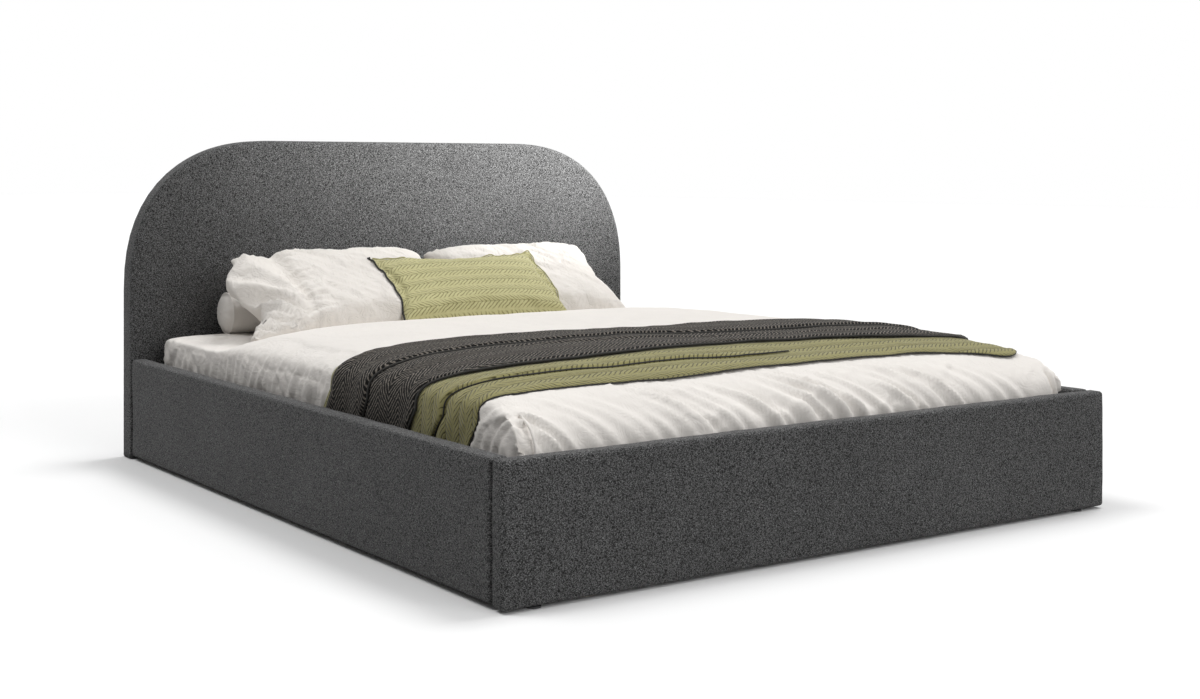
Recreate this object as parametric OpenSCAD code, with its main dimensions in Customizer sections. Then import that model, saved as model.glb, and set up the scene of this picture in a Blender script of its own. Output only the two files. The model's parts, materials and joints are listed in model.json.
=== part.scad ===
// Upholstered storage bed with a round-shouldered headboard, an end-lifting slatted
// platform on two pivots and two gas struts, a mattress, bedding and pillows.
// Millimetres. X across the bed, +Y toward the headboard, +Z up.
// Origin on the floor under the middle of the bed.

/* [Mattress] */
// Width of the mattress
mattress_w = 1590; // [1200:10:1990]
// Length of the mattress
mattress_l = 1985; // [1785:5:2185]
// Thickness of the mattress
mattress_t = 160; // [120:5:220]

/* [Upholstered walls] */
// Thickness of a side rail and of the footboard
wall_t = 47; // [40:1:60]
// Height of the side rails and the footboard
wall_h = 295; // [270:5:360]
// Gap under the side rails
rail_lift = 10; // [8:1:13]
// Thickness of foam and fabric on the rails and the footboard
pad_t = 8; // [6:1:12]
// Radius of the upholstered edges
edge_r = 9; // [6:1:12]
// Gap between the mattress and each side rail
side_gap = 43; // [43:1:60]
// Gap between the mattress and the headboard
head_gap = 20; // [20:1:35]
// Gap between the mattress and the footboard
foot_gap = 28; // [26:1:45]

/* [Headboard] */
// Height of the headboard
headboard_h = 940; // [800:10:1200]
// Thickness of the headboard
headboard_t = 70; // [60:1:90]
// Size of the round shoulders of the headboard
shoulder_r = 450; // [200:10:500]
// Squareness of the round shoulders, where 2 is a true circle
shoulder_power = 2.35; // [2:0.05:4]
// Thickness of the fabric cover of the headboard
fabric_t = 3; // [2:0.5:4]
// Thickness of the board inside the headboard
headboard_board_t = 22; // [18:1:30]
// Thickness of the panel that closes the back of the headboard
back_panel_t = 3; // [3:1:6]
// Radius of the front edge of the headboard
headboard_edge_r = 14; // [8:1:18]

/* [Storage floor] */
// Height of the floor glides
glide_h = 4; // [3:1:6]
// Radius of a floor glide
glide_r = 15; // [10:1:18]
// Height of the battens that carry the storage floor
floor_batten_h = 10; // [8:1:14]
// Width of the battens that carry the storage floor
floor_batten_w = 25; // [20:1:40]
// Thickness of the storage floor
floor_t = 6; // [4:1:9]
// Width of the middle joist under the storage floor
joist_w = 40; // [30:1:60]

/* [Ledges] */
// Width of the ledges that the platform rests on
ledge_w = 48; // [44:1:58]
// Height of the ledges that the platform rests on
ledge_h = 28; // [20:1:36]

/* [Platform] */
// Height of the underside of the platform frame above the floor
platform_z = 142; // [130:1:160]
// Outside size of the square frame tubes
tube_w = 30; // [25:1:40]
// Wall of the square frame tubes
tube_wall = 2; // [1.5:0.5:3]
// How far the side tubes stand out past the mattress
tube_out = 5; // [3:1:6]
// Distance from the headboard to the end of the side tubes
platform_head_gap = 45; // [40:1:60]
// Number of slats on each side
slat_count = 14; // [10:1:18]
// Width of a slat
slat_w = 53; // [40:1:68]
// Thickness of a slat
slat_t = 8; // [6:1:10]
// Rise of a slat in its middle
slat_bow = 8; // [4:1:12]
// Thickness of the walls of a slat holder
holder_wall = 2; // [1.5:0.5:3]
// Length of a slat holder on a side tube
holder_l = 26; // [18:1:28]

/* [Lift] */
// Distance from the headboard to the pivots
pivot_back = 260; // [255:1:280]
// Height of the pivots above the underside of the platform frame
pivot_rise = 93; // [90:1:100]
// Radius of a pivot pin
pivot_r = 8; // [6:1:9]
// Thickness of the hinge arms
arm_t = 5; // [4:0.5:6]
// Thickness of the hinge plates
plate_t = 4; // [3:0.5:5]
// Distance of the lower strut stud in front of the pivot
low_stud_front = 10; // [0:1:20]
// Height of the lower strut stud above the storage floor
low_stud_rise = 19; // [17:1:30]
// Distance of the upper strut stud in front of the pivot
high_stud_front = 250; // [230:5:270]
// Radius of a strut stud
stud_r = 4; // [3:0.5:4]
// Outside radius of a strut cylinder
strut_r = 11; // [9:0.5:11]
// Length of a strut cylinder
strut_body_l = 168; // [155:1:175]
// Radius of a strut rod
rod_r = 5; // [4:0.5:6]
// Reach of the rod eye past the upper stud, so that the open eye stays centred
eye_reach = 2.5; // [0:0.5:3]
// Radius of the open eye at the end of the rod
open_eye_r = 7.5; // [7:0.5:8]

/* [Bedding] */
// Height of the bedding above the mattress at the head end
sheet_t = 10; // [8:1:16]
// Height of the duvet above the mattress in the middle of the bed
duvet_t = 78; // [50:1:100]
// Thickness of the duvet where it hangs down beside the mattress
duvet_side_t = 11; // [8:1:11]
// Height of the mattress side left bare under the hanging duvet
hem_rise = 62; // [62:1:90]
// Thickness of the lower throw
olive_throw_t = 4; // [3:0.5:4]
// Thickness of the upper throw
dark_throw_t = 6; // [4:0.5:6]
// Distance from the headboard to the lower throw
olive_throw_from = 1245; // [1000:5:1300]
// Distance from the headboard to the upper throw
dark_throw_from = 1260; // [1020:5:1320]
// Length along the bed that the lower throw covers
olive_throw_l = 735; // [600:5:800]
// Length along the bed that the upper throw covers
dark_throw_l = 500; // [400:10:580]

/* [Pillows] */
// Width of a pillow
pillow_w = 690; // [600:10:720]
// Length of a pillow
pillow_l = 450; // [380:10:480]
// Thickness of a pillow
pillow_t = 170; // [120:5:180]
// Width of the lumbar cushion
cushion_w = 600; // [400:10:640]
// Length of the lumbar cushion
cushion_l = 320; // [280:10:350]
// Thickness of the lumbar cushion
cushion_t = 100; // [80:5:120]
// Radius of the bolster
bolster_r = 62.5; // [50:0.5:65]
// Length of the bolster
bolster_l = 1290; // [900:10:1360]

/* [Hidden] */
$fn = 64;

// Clearances
touch = 0.3;        // between a resting piece and its seat
soft_gap = 0.5;     // around a soft piece
slide_gap = 0.05;   // around a pivot pin
screw_gap = 0.1;    // around a screw or bolt shank
eps = 0.01;         // overshoot of a cut
big = 4000;         // longer than the bed

// Plan of the bed
bed_w = mattress_w + 2*(side_gap + wall_t);
bed_l = headboard_t + head_gap + mattress_l + foot_gap + wall_t;
wall_x = bed_w/2 - wall_t;            // inner face of a side rail
head_y = bed_l/2 - headboard_t;       // front face of the headboard
foot_y = -bed_l/2 + wall_t;           // inner face of the footboard
mattress_head_y = head_y - head_gap;
mattress_foot_y = mattress_head_y - mattress_l;

// Storage floor
panel_z = rail_lift + floor_batten_h;
floor_top = panel_z + floor_t;
panel_gap = 2;                        // around and between the two floor panels
glide_inset = 85;                     // of a glide from the side of the bed

// Headboard
headboard_step = 6;                   // degrees between the points of a shoulder
edge_steps = 4;                       // rings of points round the front edge

// Ledges and corner brackets
ledge_top = platform_z - touch;
bracket_z = 28;
bracket_h = 78;
bracket_t = 3;
bracket_leg = 60;
bracket_short_leg = 25;
bracket_bolt_z = [20, 58];            // above the foot of the bracket
bracket_bolt_in = 42;                 // from the corner along a long leg
bracket_short_bolt_in = 15;           // from the corner along a short leg

// Bolts
bolt_r = 3;
bolt_head_r = 6;
bolt_head_h = 2.4;
bolt_l = 24;
head_bolt_l = headboard_t - back_panel_t - headboard_board_t/2 + bracket_t;
socket_r = 2.6;
socket_d = 1.4;

// Platform
tube_x = mattress_w/2 + tube_out;     // outer face of a side tube
tube_top = platform_z + tube_w;
tube_head_y = head_y - platform_head_gap;
tube_foot_y = mattress_foot_y - soft_gap;
slat_zone = slat_t + slat_bow + holder_wall;
mattress_z = tube_top + slat_zone;
mattress_top = mattress_z + mattress_t;
slat_from_y = tube_foot_y + tube_w;
slat_pitch = (tube_head_y - tube_foot_y - 2*tube_w)/slat_count;
slat_x0 = holder_wall;                // inner end of a slat
slat_x1 = tube_x - holder_wall;       // outer end of a slat
slat_z = tube_top + holder_wall;
slat_steps = 12;
slat_play = 1.6;                      // spare height in a slat holder
centre_holder_l = tube_w/2 - 0.5;
cap_t = 2;
cap_l = 14;

// Lift
pivot_y = head_y - pivot_back;
pivot_z = platform_z + pivot_rise;
pivot_boss_r = 15;
spacer_r = 13;
pin_head_r = 12;
pin_head_h = 2.5;
arm_x = tube_x + arm_t;               // outer face of a hinge arm
plate_x = wall_x - plate_t;           // inner face of a hinge plate
arm_back = 60;                        // reach of the arm behind the pivot
arm_nose = 40;                        // reach of the arm past the strut's stud
arm_front = high_stud_front + arm_nose;
arm_bolt_front = [-40, 70, 180];      // places of the arm bolts in front of the pivot
ledge_head_y = pivot_y - arm_front - 15;
plate_front = 70;
plate_back = 60;
plate_foot_z = floor_top + 2;
plate_top_r = 24;
plate_shoulder = 12;                  // height of the plate's shoulders below the pivot
plate_hole_r = 16;
plate_hole_shift = 8;
low_hole_rise = 70;
high_hole_drop = 75;
plate_bolt_back = 45;
plate_bolt_front = 50;
plate_bolt_rise = 34;                 // lowest bolt above the foot of the plate
plate_bolt_drop = 22;                 // upper bolts below the pivot
plate_bolts = [
    [pivot_y + plate_bolt_back, plate_foot_z + plate_bolt_rise],
    [pivot_y + plate_bolt_back, pivot_z - plate_bolt_drop],
    [pivot_y - plate_bolt_front, pivot_z - plate_bolt_drop]
];
low_stud = [pivot_y - low_stud_front, floor_top + low_stud_rise];
high_stud = [pivot_y - high_stud_front, platform_z + tube_w/2];
strut_vec = high_stud - low_stud;
strut_l = norm(strut_vec);
strut_tilt = atan2(strut_vec[1], -strut_vec[0]);
strut_x = plate_x - strut_r - 2.5;    // middle plane of a strut
eye_t = 12;
eye_wall = 4;
stud_cap_r = 9;
stud_cap_t = 1.5;
strut_end = 14;                       // length of the solid foot of the cylinder
gland_l = 9;
tube_bore_r = strut_r - 1.5;
piston_l = 8;
piston_at = 58;                       // rest place of the piston from the lower stud

// Retainer and strap
retainer_w = 200;
retainer_h = 100;
retainer_bar = 14;
retainer_t = 4;
retainer_r = 24;
strap_x = 260;
strap_span = 110;                     // between the feet of the strap
strap_rise = 17;                      // bow of the strap away from the tube
strap_h = 24;
strap_foot = 24;                      // length of each foot of the strap
strap_t = 3;
strap_arc_r = (strap_span*strap_span/4 + strap_rise*strap_rise)/(2*strap_rise);

// Bedding
mattress_r = 20;
mattress_head_r = 40;
hem_z = mattress_z + hem_rise;
bedding_x = mattress_w/2 + soft_gap + duvet_side_t;
bedding_foot_y = mattress_foot_y - soft_gap - duvet_side_t;
bedding_head_y = mattress_head_y - mattress_head_r;
shoulder_z = mattress_top - 20;       // where the hanging side turns onto the top
crest_z = mattress_top + duvet_t;
crown_power = 5;
crown_steps = 9;
fold_start = 445;                     // from the headboard to where the duvet starts to rise
fold_length = 220;                    // length over which the duvet rises to its full height
fold_head_y = head_y - fold_start;
fold_foot_y = fold_head_y - fold_length;
fold_steps = 8;
foot_round = 413;                     // length of the round foot end of the duvet
foot_power = 3.5;
plan_r = 30;
olive_head_y = head_y - olive_throw_from;
dark_head_y = head_y - dark_throw_from;

// Pillows
pillow_tilt = 28;
pillow_x = 360;                       // from the middle of the bed to the middle of a pillow
pillow_reach = 315;                   // from the headboard to the middle of a pillow
pillow_rise = 135;                    // from the mattress to the middle of a pillow
pillow_at = [pillow_x, head_y - pillow_reach, mattress_top + pillow_rise];
pillow_sag = 25;                      // how far the fuller side hangs below the rim
cushion_tilt = 34;
cushion_x = 47;
cushion_reach = 412;
cushion_rise = 142;
cushion_at = [cushion_x, head_y - cushion_reach, mattress_top + cushion_rise];
pillow_corner_r = 25;
pillow_crown = 0.55;                  // how soon the pillow thins toward its rim
pillow_steps = 5;
bolster_reach = 85;
bolster_gap = 0.4;
bolster_at = [0, head_y - bolster_reach, mattress_top + sheet_t + bolster_gap + bolster_r];
bolster_end_r = 30;

// ---------------------------------------------------------------- shared shapes

// A shape drawn in the Y-Z plane, spread from x0 to x1
module across(x0, x1)
    translate([x0, 0, 0])
        rotate([90, 0, 90])
            linear_extrude(x1 - x0)
                children();

// A shape drawn in the X-Z plane, spread from y0 to y1
module along(y0, y1)
    translate([0, y1, 0])
        rotate([90, 0, 0])
            linear_extrude(y1 - y0)
                children();

// A box between two corners
module block(low, high)
    translate(low)
        cube(high - low);

// A rectangle with round corners, drawn from its lower left corner
module round_rect(w, h, r) {
    translate([r, 0])
        square([w - 2*r, h]);
    translate([0, r])
        square([w, h - 2*r]);
    for (x = [r, w - r])
        for (y = [r, h - r])
            translate([x, y])
                circle(r);
}

// The same piece on the right side, or mirrored to the left side
module on_side(side)
    mirror([side == "left" ? 1 : 0, 0, 0])
        children();

// A box whose top and upright edges are round and whose underside is open cut
module padded_box(low, high, r)
    hull()
        for (x = [low[0] + r, high[0] - r])
            for (y = [low[1] + r, high[1] - r]) {
                translate([x, y, high[2] - r])
                    sphere(r, $fn = 32);
                translate([x, y, low[2]])
                    cylinder(h = high[2] - low[2] - r, r = r, $fn = 32);
            }

// A bolt along +Z with its head below the plane z = 0, drawn with its shank upward
module bolt(shank_l) {
    difference() {
        translate([0, 0, -bolt_head_h])
            cylinder(h = bolt_head_h, r = bolt_head_r);
        translate([0, 0, -bolt_head_h - eps])
            cylinder(h = socket_d, r = socket_r, $fn = 6);
    }
    cylinder(h = shank_l, r = bolt_r);
}

// The hole that the shank of a bolt needs
module bolt_hole(shank_l)
    translate([0, 0, -eps])
        cylinder(h = shank_l + 1, r = bolt_r + screw_gap);

// ---------------------------------------------------------------- headboard

// Outline of the headboard, drawn in from its edge by inset at the sides and the top
function shoulder_point(a, side, inset) = [
    side*(bed_w/2 - shoulder_r + (shoulder_r - inset)*pow(cos(a), 2/shoulder_power)),
    headboard_h - shoulder_r + (shoulder_r - inset)*pow(sin(a), 2/shoulder_power)
];
function headboard_outline(inset) = concat(
    [[-bed_w/2 + inset, glide_h], [bed_w/2 - inset, glide_h]],
    [for (a = [0:headboard_step:90]) shoulder_point(a, 1, inset)],
    [for (a = [90:-headboard_step:0]) shoulder_point(a, -1, inset)]
);

// Solid headboard between two planes with a rounded front edge
module headboard_form(inset, front, back, r)
    hull() {
        along(front + r, back)
            polygon(headboard_outline(inset));
        for (i = [0:edge_steps - 1])
            let (a = 90*i/edge_steps)
                along(front + r - r*cos(a), back)
                    polygon(headboard_outline(inset + r - r*sin(a)));
    }

module headboard_inside()
    headboard_form(fabric_t, head_y + fabric_t, bed_l/2 - back_panel_t - headboard_board_t,
        headboard_edge_r - fabric_t);

module headboard_board()
    color("burlywood")
        difference() {
            along(bed_l/2 - back_panel_t - headboard_board_t, bed_l/2 - back_panel_t)
                polygon(headboard_outline(fabric_t));
            corner_bolt_holes();
        }

module headboard_foam()
    color("khaki")
        difference() {
            headboard_inside();
            corner_bolt_holes();
        }

module headboard_cover()
    color("dimgray")
        difference() {
            headboard_form(0, head_y, bed_l/2 - back_panel_t, headboard_edge_r);
            headboard_inside();
            along(bed_l/2 - back_panel_t - headboard_board_t, bed_l/2)
                polygon(headboard_outline(fabric_t));
            corner_bolt_holes();
        }

module headboard_back_panel()
    color("black")
        along(bed_l/2 - back_panel_t, bed_l/2)
            polygon(headboard_outline(fabric_t/2));

// ---------------------------------------------------------------- rails and footboard

rail_low = [wall_x, foot_y, rail_lift];
rail_high = [bed_w/2, head_y, wall_h];
foot_low = [-bed_w/2, -bed_l/2, glide_h];
foot_high = [bed_w/2, foot_y, wall_h];
pad = [pad_t, pad_t, fabric_t];        // the cloth is turned under the board
pad_top = [pad_t, pad_t, pad_t];

module rail_core(side)
    color("burlywood")
        difference() {
            on_side(side)
                block(rail_low + pad, rail_high - pad_top);
            wall_holes();
        }

module rail_cover(side)
    color("dimgray")
        difference() {
            on_side(side)
                padded_box(rail_low, rail_high, edge_r);
            on_side(side)
                block(rail_low + pad, rail_high - pad_top);
            wall_holes();
        }

module left_rail_core() rail_core("left");
module right_rail_core() rail_core("right");
module left_rail_cover() rail_cover("left");
module right_rail_cover() rail_cover("right");

module footboard_core()
    color("burlywood")
        difference() {
            block(foot_low + pad, foot_high - pad_top);
            corner_bolt_holes();
        }

module footboard_cover()
    color("dimgray")
        difference() {
            padded_box(foot_low, foot_high, edge_r);
            block(foot_low + pad, foot_high - pad_top);
            corner_bolt_holes();
        }

// ---------------------------------------------------------------- corner brackets

// Children drawn along +Z are set on each leg of the bracket in one corner
module on_rail_leg(side, y)
    on_side(side)
        for (z = bracket_bolt_z)
            translate([wall_x - bracket_t, y, bracket_z + z])
                rotate([0, 90, 0])
                    children();

module on_foot_leg(side)
    on_side(side)
        for (z = bracket_bolt_z)
            translate([wall_x - bracket_bolt_in, foot_y + bracket_t, bracket_z + z])
                rotate([90, 0, 0])
                    children();

module on_head_leg(side)
    on_side(side)
        for (z = bracket_bolt_z)
            translate([wall_x - bracket_short_bolt_in, head_y - bracket_t, bracket_z + z])
                rotate([-90, 0, 0])
                    children();

module at_wall_bolts()
    for (side = ["left", "right"]) {
        on_rail_leg(side, foot_y + bracket_bolt_in)
            children();
        on_rail_leg(side, head_y - bracket_bolt_in)
            children();
        on_foot_leg(side)
            children();
    }

module at_headboard_bolts()
    for (side = ["left", "right"])
        on_head_leg(side)
            children();

module corner_bolt_holes() {
    at_wall_bolts()
        bolt_hole(bolt_l);
    at_headboard_bolts()
        bolt_hole(head_bolt_l);
}

module foot_bracket(side)
    color("silver")
        difference() {
            on_side(side) {
                block([wall_x - bracket_t, foot_y, bracket_z],
                    [wall_x, foot_y + bracket_leg, bracket_z + bracket_h]);
                block([wall_x - bracket_leg, foot_y, bracket_z],
                    [wall_x, foot_y + bracket_t, bracket_z + bracket_h]);
            }
            corner_bolt_holes();
        }

module head_bracket(side)
    color("silver")
        difference() {
            on_side(side) {
                block([wall_x - bracket_t, head_y - bracket_leg, bracket_z],
                    [wall_x, head_y, bracket_z + bracket_h]);
                block([wall_x - bracket_short_leg, head_y - bracket_t, bracket_z],
                    [wall_x, head_y, bracket_z + bracket_h]);
            }
            corner_bolt_holes();
        }

module left_foot_bracket() foot_bracket("left");
module right_foot_bracket() foot_bracket("right");
module left_head_bracket() head_bracket("left");
module right_head_bracket() head_bracket("right");

module corner_bolts()
    color("gray") {
        at_wall_bolts()
            bolt(bolt_l);
        at_headboard_bolts()
            bolt(head_bolt_l);
    }

// ---------------------------------------------------------------- ledges and storage floor

module ledge(side)
    color("burlywood")
        on_side(side)
            block([wall_x - ledge_w, foot_y, ledge_top - ledge_h],
                [wall_x, ledge_head_y, ledge_top]);

module left_ledge() ledge("left");
module right_ledge() ledge("right");

module foot_ledge()
    color("burlywood")
        block([-wall_x + ledge_w, foot_y, ledge_top - ledge_h],
            [wall_x - ledge_w, foot_y + ledge_w, ledge_top]);

module floor_batten(side)
    color("burlywood")
        on_side(side)
            block([wall_x - floor_batten_w, foot_y, rail_lift], [wall_x, head_y, panel_z]);

module left_floor_batten() floor_batten("left");
module right_floor_batten() floor_batten("right");

module floor_joist()
    color("burlywood")
        block([-joist_w/2, foot_y, glide_h], [joist_w/2, head_y, panel_z]);

module head_floor_panel()
    color("gray")
        block([-wall_x + panel_gap, panel_gap/2, panel_z],
            [wall_x - panel_gap, head_y - panel_gap, floor_top]);

module foot_floor_panel()
    color("gray")
        block([-wall_x + panel_gap, foot_y + panel_gap, panel_z],
            [wall_x - panel_gap, -panel_gap/2, floor_top]);

module floor_glides()
    color("black") {
        for (x = [-bed_w/2 + glide_inset, bed_w/2 - glide_inset])
            for (y = [foot_y - wall_t/2, head_y + headboard_t/2])
                translate([x, y, 0])
                    cylinder(h = glide_h, r = glide_r);
        for (y = [-bed_l/4, 0, bed_l/4])
            translate([0, y, 0])
                cylinder(h = glide_h, r = glide_r);
    }

// ---------------------------------------------------------------- hinge plates on the rails

// Children drawn along +Z are set on the inner face of a hinge plate
module at_plate_bolts()
    for (side = ["left", "right"])
        on_side(side)
            for (p = plate_bolts)
                translate([plate_x, p[0], p[1]])
                    rotate([0, 90, 0])
                        children();

// Every hole in the side rails
module wall_holes() {
    corner_bolt_holes();
    at_plate_bolts()
        bolt_hole(bolt_l);
}

// Tapered plate with a round head at the pivot and a hand-sized lightening slot
module plate_profile()
    difference() {
        union() {
            polygon([
                [pivot_y - plate_front, plate_foot_z],
                [pivot_y + plate_back, plate_foot_z],
                [pivot_y + plate_back, pivot_z - plate_shoulder],
                [pivot_y + plate_top_r, pivot_z],
                [pivot_y - plate_top_r, pivot_z],
                [pivot_y - plate_front, pivot_z - plate_shoulder]
            ]);
            translate([pivot_y, pivot_z])
                circle(plate_top_r);
        }
        for (z = [plate_foot_z + low_hole_rise, pivot_z - high_hole_drop])
            translate([pivot_y + plate_hole_shift, z])
                circle(plate_hole_r);
    }

module hinge_plate(side)
    color("silver")
        difference() {
            on_side(side)
                across(plate_x, wall_x)
                    plate_profile();
            at_plate_bolts()
                bolt_hole(bolt_l);
        }

module left_hinge_plate() hinge_plate("left");
module right_hinge_plate() hinge_plate("right");

module hinge_plate_bolts()
    color("gray")
        at_plate_bolts()
            bolt(bolt_l);

// A pin with a spacer against the hinge plate and a head inside the hinge arm
module pivot_pin(side)
    color("gray")
        on_side(side)
            translate([0, pivot_y, pivot_z])
                rotate([0, 90, 0]) {
                    translate([0, 0, tube_x - 0.1 - pin_head_h])
                        cylinder(h = pin_head_h, r = pin_head_r);
                    translate([0, 0, tube_x - 0.1 - eps])
                        cylinder(h = arm_t + 0.2 + 2*eps, r = pivot_r);
                    translate([0, 0, arm_x + 0.1])
                        cylinder(h = plate_x - arm_x - 0.1, r = spacer_r);
                }

module left_pivot_pin() pivot_pin("left");
module right_pivot_pin() pivot_pin("right");

// A stud across the gap beside a strut, with a cap that keeps the eye on
module stud(seat_x, cap_x, at)
    translate([0, at[0], at[1]])
        rotate([0, 90, 0]) {
            translate([0, 0, min(seat_x, cap_x)])
                cylinder(h = abs(seat_x - cap_x), r = stud_r);
            translate([0, 0, cap_x - stud_cap_t/2])
                cylinder(h = stud_cap_t, r = stud_cap_r);
        }

module lower_strut_studs()
    color("gray")
        for (side = ["left", "right"])
            on_side(side)
                stud(plate_x, strut_x - eye_t/2 - 2, low_stud);

// ---------------------------------------------------------------- platform frame

// Square tube along Y
module tube_along(x, y0, y1)
    difference() {
        block([x, y0, platform_z], [x + tube_w, y1, tube_top]);
        block([x + tube_wall, y0 - 1, platform_z + tube_wall],
            [x + tube_w - tube_wall, y1 + 1, tube_top - tube_wall]);
    }

// Square tube along X between the side tubes
module tube_across(y)
    difference() {
        block([-tube_x + tube_w, y, platform_z], [tube_x - tube_w, y + tube_w, tube_top]);
        block([-tube_x, y + tube_wall, platform_z + tube_wall],
            [tube_x, y + tube_w - tube_wall, tube_top - tube_wall]);
    }

module side_tube(side)
    color("dimgray")
        difference() {
            on_side(side)
                tube_along(tube_x - tube_w, tube_foot_y, tube_head_y);
            at_arm_bolts()
                bolt_hole(bolt_l/2);
        }

module left_side_tube() side_tube("left");
module right_side_tube() side_tube("right");

module head_tube()
    color("dimgray")
        tube_across(tube_head_y - tube_w);

module foot_tube()
    color("dimgray")
        tube_across(tube_foot_y);

module centre_tube()
    color("dimgray")
        tube_along(-tube_w/2, tube_foot_y + tube_w, tube_head_y - tube_w);

// A cap with a plug in the open head end of each side tube
module tube_end_caps()
    color("black")
        for (side = ["left", "right"])
            on_side(side) {
                block([tube_x - tube_w, tube_head_y, platform_z],
                    [tube_x, tube_head_y + cap_t, tube_top]);
                block([tube_x - tube_w + tube_wall + touch, tube_head_y - cap_l,
                        platform_z + tube_wall + touch],
                    [tube_x - tube_wall - touch, tube_head_y + eps,
                        tube_top - tube_wall - touch]);
            }

// ---------------------------------------------------------------- hinge arms

// Children drawn along +Z point inward from the outer face of each hinge arm
module at_arm_bolts()
    for (side = ["left", "right"])
        on_side(side)
            for (f = arm_bolt_front)
                translate([arm_x, pivot_y - f, platform_z + tube_w/2])
                    rotate([0, -90, 0])
                        children();

// A strip along the tube with a tapered ear up to the pivot
module arm_profile()
    difference() {
        union() {
            polygon([
                [pivot_y + arm_back, platform_z],
                [pivot_y + arm_back, platform_z + tube_w],
                [pivot_y + pivot_boss_r, pivot_z],
                [pivot_y - pivot_boss_r, pivot_z],
                [pivot_y - arm_back, platform_z + tube_w],
                [pivot_y - arm_front, platform_z + tube_w],
                [pivot_y - arm_front, platform_z]
            ]);
            translate([pivot_y, pivot_z])
                circle(pivot_boss_r);
        }
        translate([pivot_y, pivot_z])
            circle(pivot_r + slide_gap);
        translate([pivot_y, platform_z + tube_w + 18])
            circle(14);
    }

module hinge_arm(side)
    color("silver")
        difference() {
            on_side(side)
                across(tube_x, arm_x)
                    arm_profile();
            at_arm_bolts()
                bolt_hole(bolt_l/2);
        }

module left_hinge_arm() hinge_arm("left");
module right_hinge_arm() hinge_arm("right");

module arm_bolts()
    color("gray")
        at_arm_bolts()
            bolt(bolt_l/2);

module upper_strut_studs()
    color("gray")
        for (side = ["left", "right"])
            on_side(side)
                stud(arm_x, strut_x + eye_t/2 + 2, high_stud);

// ---------------------------------------------------------------- slats

// Lower or upper edge of a bowed slat at x, above the slat's end
function slat_rise(x) =
    let (t = (2*x - slat_x0 - slat_x1)/(slat_x1 - slat_x0))
        slat_bow*(1 - t*t);
function slat_x(i) = slat_x0 + (slat_x1 - slat_x0)*i/slat_steps;
function slat_profile() = concat(
    [for (i = [0:slat_steps]) [slat_x(i), slat_z + slat_rise(slat_x(i))]],
    [for (i = [slat_steps:-1:0]) [slat_x(i), slat_z + slat_t + slat_rise(slat_x(i))]]
);
function slat_y(i) = slat_from_y + slat_pitch*(i + 0.5);

module slats(side)
    color("wheat")
        on_side(side)
            for (i = [0:slat_count - 1])
                along(slat_y(i) - slat_w/2, slat_y(i) + slat_w/2)
                    polygon(slat_profile());

module left_slats() slats("left");
module right_slats() slats("right");

// A pocket with its mouth toward the slat; back is the closed end, mouth the open end
module slat_holder(back, mouth, y) {
    half = slat_w/2 + touch;
    reach = (mouth > back ? 1 : -1);
    inner = back + reach*(holder_wall - touch);
    slot_h = slat_t + slat_play;
    difference() {
        block([min(back, mouth), y - half - holder_wall, tube_top],
            [max(back, mouth), y + half + holder_wall, slat_z + slot_h + holder_wall]);
        block([min(inner, mouth + reach), y - half, slat_z],
            [max(inner, mouth + reach), y + half, slat_z + slot_h]);
    }
}

module slat_holders()
    color("black")
        for (side = ["left", "right"])
            on_side(side)
                for (i = [0:slat_count - 1]) {
                    slat_holder(tube_x, tube_x - holder_l, slat_y(i));
                    slat_holder(touch/2, centre_holder_l, slat_y(i));
                }

// ---------------------------------------------------------------- retainer and strap

// An upright loop of flat bar on the foot tube that keeps the mattress on the platform
module mattress_retainer()
    color("silver")
        along(tube_foot_y - retainer_t, tube_foot_y)
            translate([-retainer_w/2, platform_z])
                difference() {
                    round_rect(retainer_w, retainer_h, retainer_r);
                    translate([retainer_bar, retainer_bar])
                        round_rect(retainer_w - 2*retainer_bar, retainer_h - 2*retainer_bar,
                            retainer_r - retainer_bar);
                }

// A band that bows out from the foot tube between two flat feet, drawn in plan
module strap_profile() {
    difference() {
        intersection() {
            translate([0, strap_arc_r - strap_rise])
                circle(strap_arc_r + strap_t, $fn = 180);
            translate([-strap_span, -strap_rise - strap_t - 1])
                square([2*strap_span, strap_rise + strap_t + 1]);
        }
        translate([0, strap_arc_r - strap_rise])
            circle(strap_arc_r, $fn = 180);
    }
    for (x = [-strap_span/2 - strap_foot, strap_span/2])
        translate([x, -strap_t])
            square([strap_foot, strap_t]);
}

module pull_strap()
    color("black")
        translate([strap_x, tube_foot_y, platform_z + (tube_w - strap_h)/2])
            linear_extrude(strap_h)
                strap_profile();

// ---------------------------------------------------------------- gas struts

// Children drawn with the strut along +Z and the eyes' axis along X, lower eye at the origin
module on_strut_line(side)
    on_side(side)
        translate([strut_x, low_stud[0], low_stud[1]])
            rotate([90 - strut_tilt, 0, 0])
                children();

module eye(at, outer_r, hole_r)
    translate([-eye_t/2, 0, at])
        rotate([0, 90, 0])
            difference() {
                cylinder(h = eye_t, r = outer_r);
                translate([0, 0, -1])
                    cylinder(h = eye_t + 2, r = hole_r);
            }

module strut_cylinder(side)
    color("dimgray")
        on_strut_line(side) {
            eye(0, stud_r + slide_gap + eye_wall, stud_r + slide_gap);
            difference() {
                union() {
                    translate([0, 0, stud_r + eye_wall - 1])
                        cylinder(h = strut_end - stud_r - eye_wall + 1.5, r = rod_r - 0.5);
                    translate([0, 0, strut_end])
                        cylinder(h = strut_body_l, r = strut_r);
                }
                translate([0, 0, strut_end + 10])
                    cylinder(h = strut_body_l - 10 - gland_l, r = tube_bore_r);
                translate([0, 0, strut_end + strut_body_l - gland_l - 1])
                    cylinder(h = gland_l + 2, r = rod_r + slide_gap);
            }
        }

module left_strut_cylinder() strut_cylinder("left");
module right_strut_cylinder() strut_cylinder("right");

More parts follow.
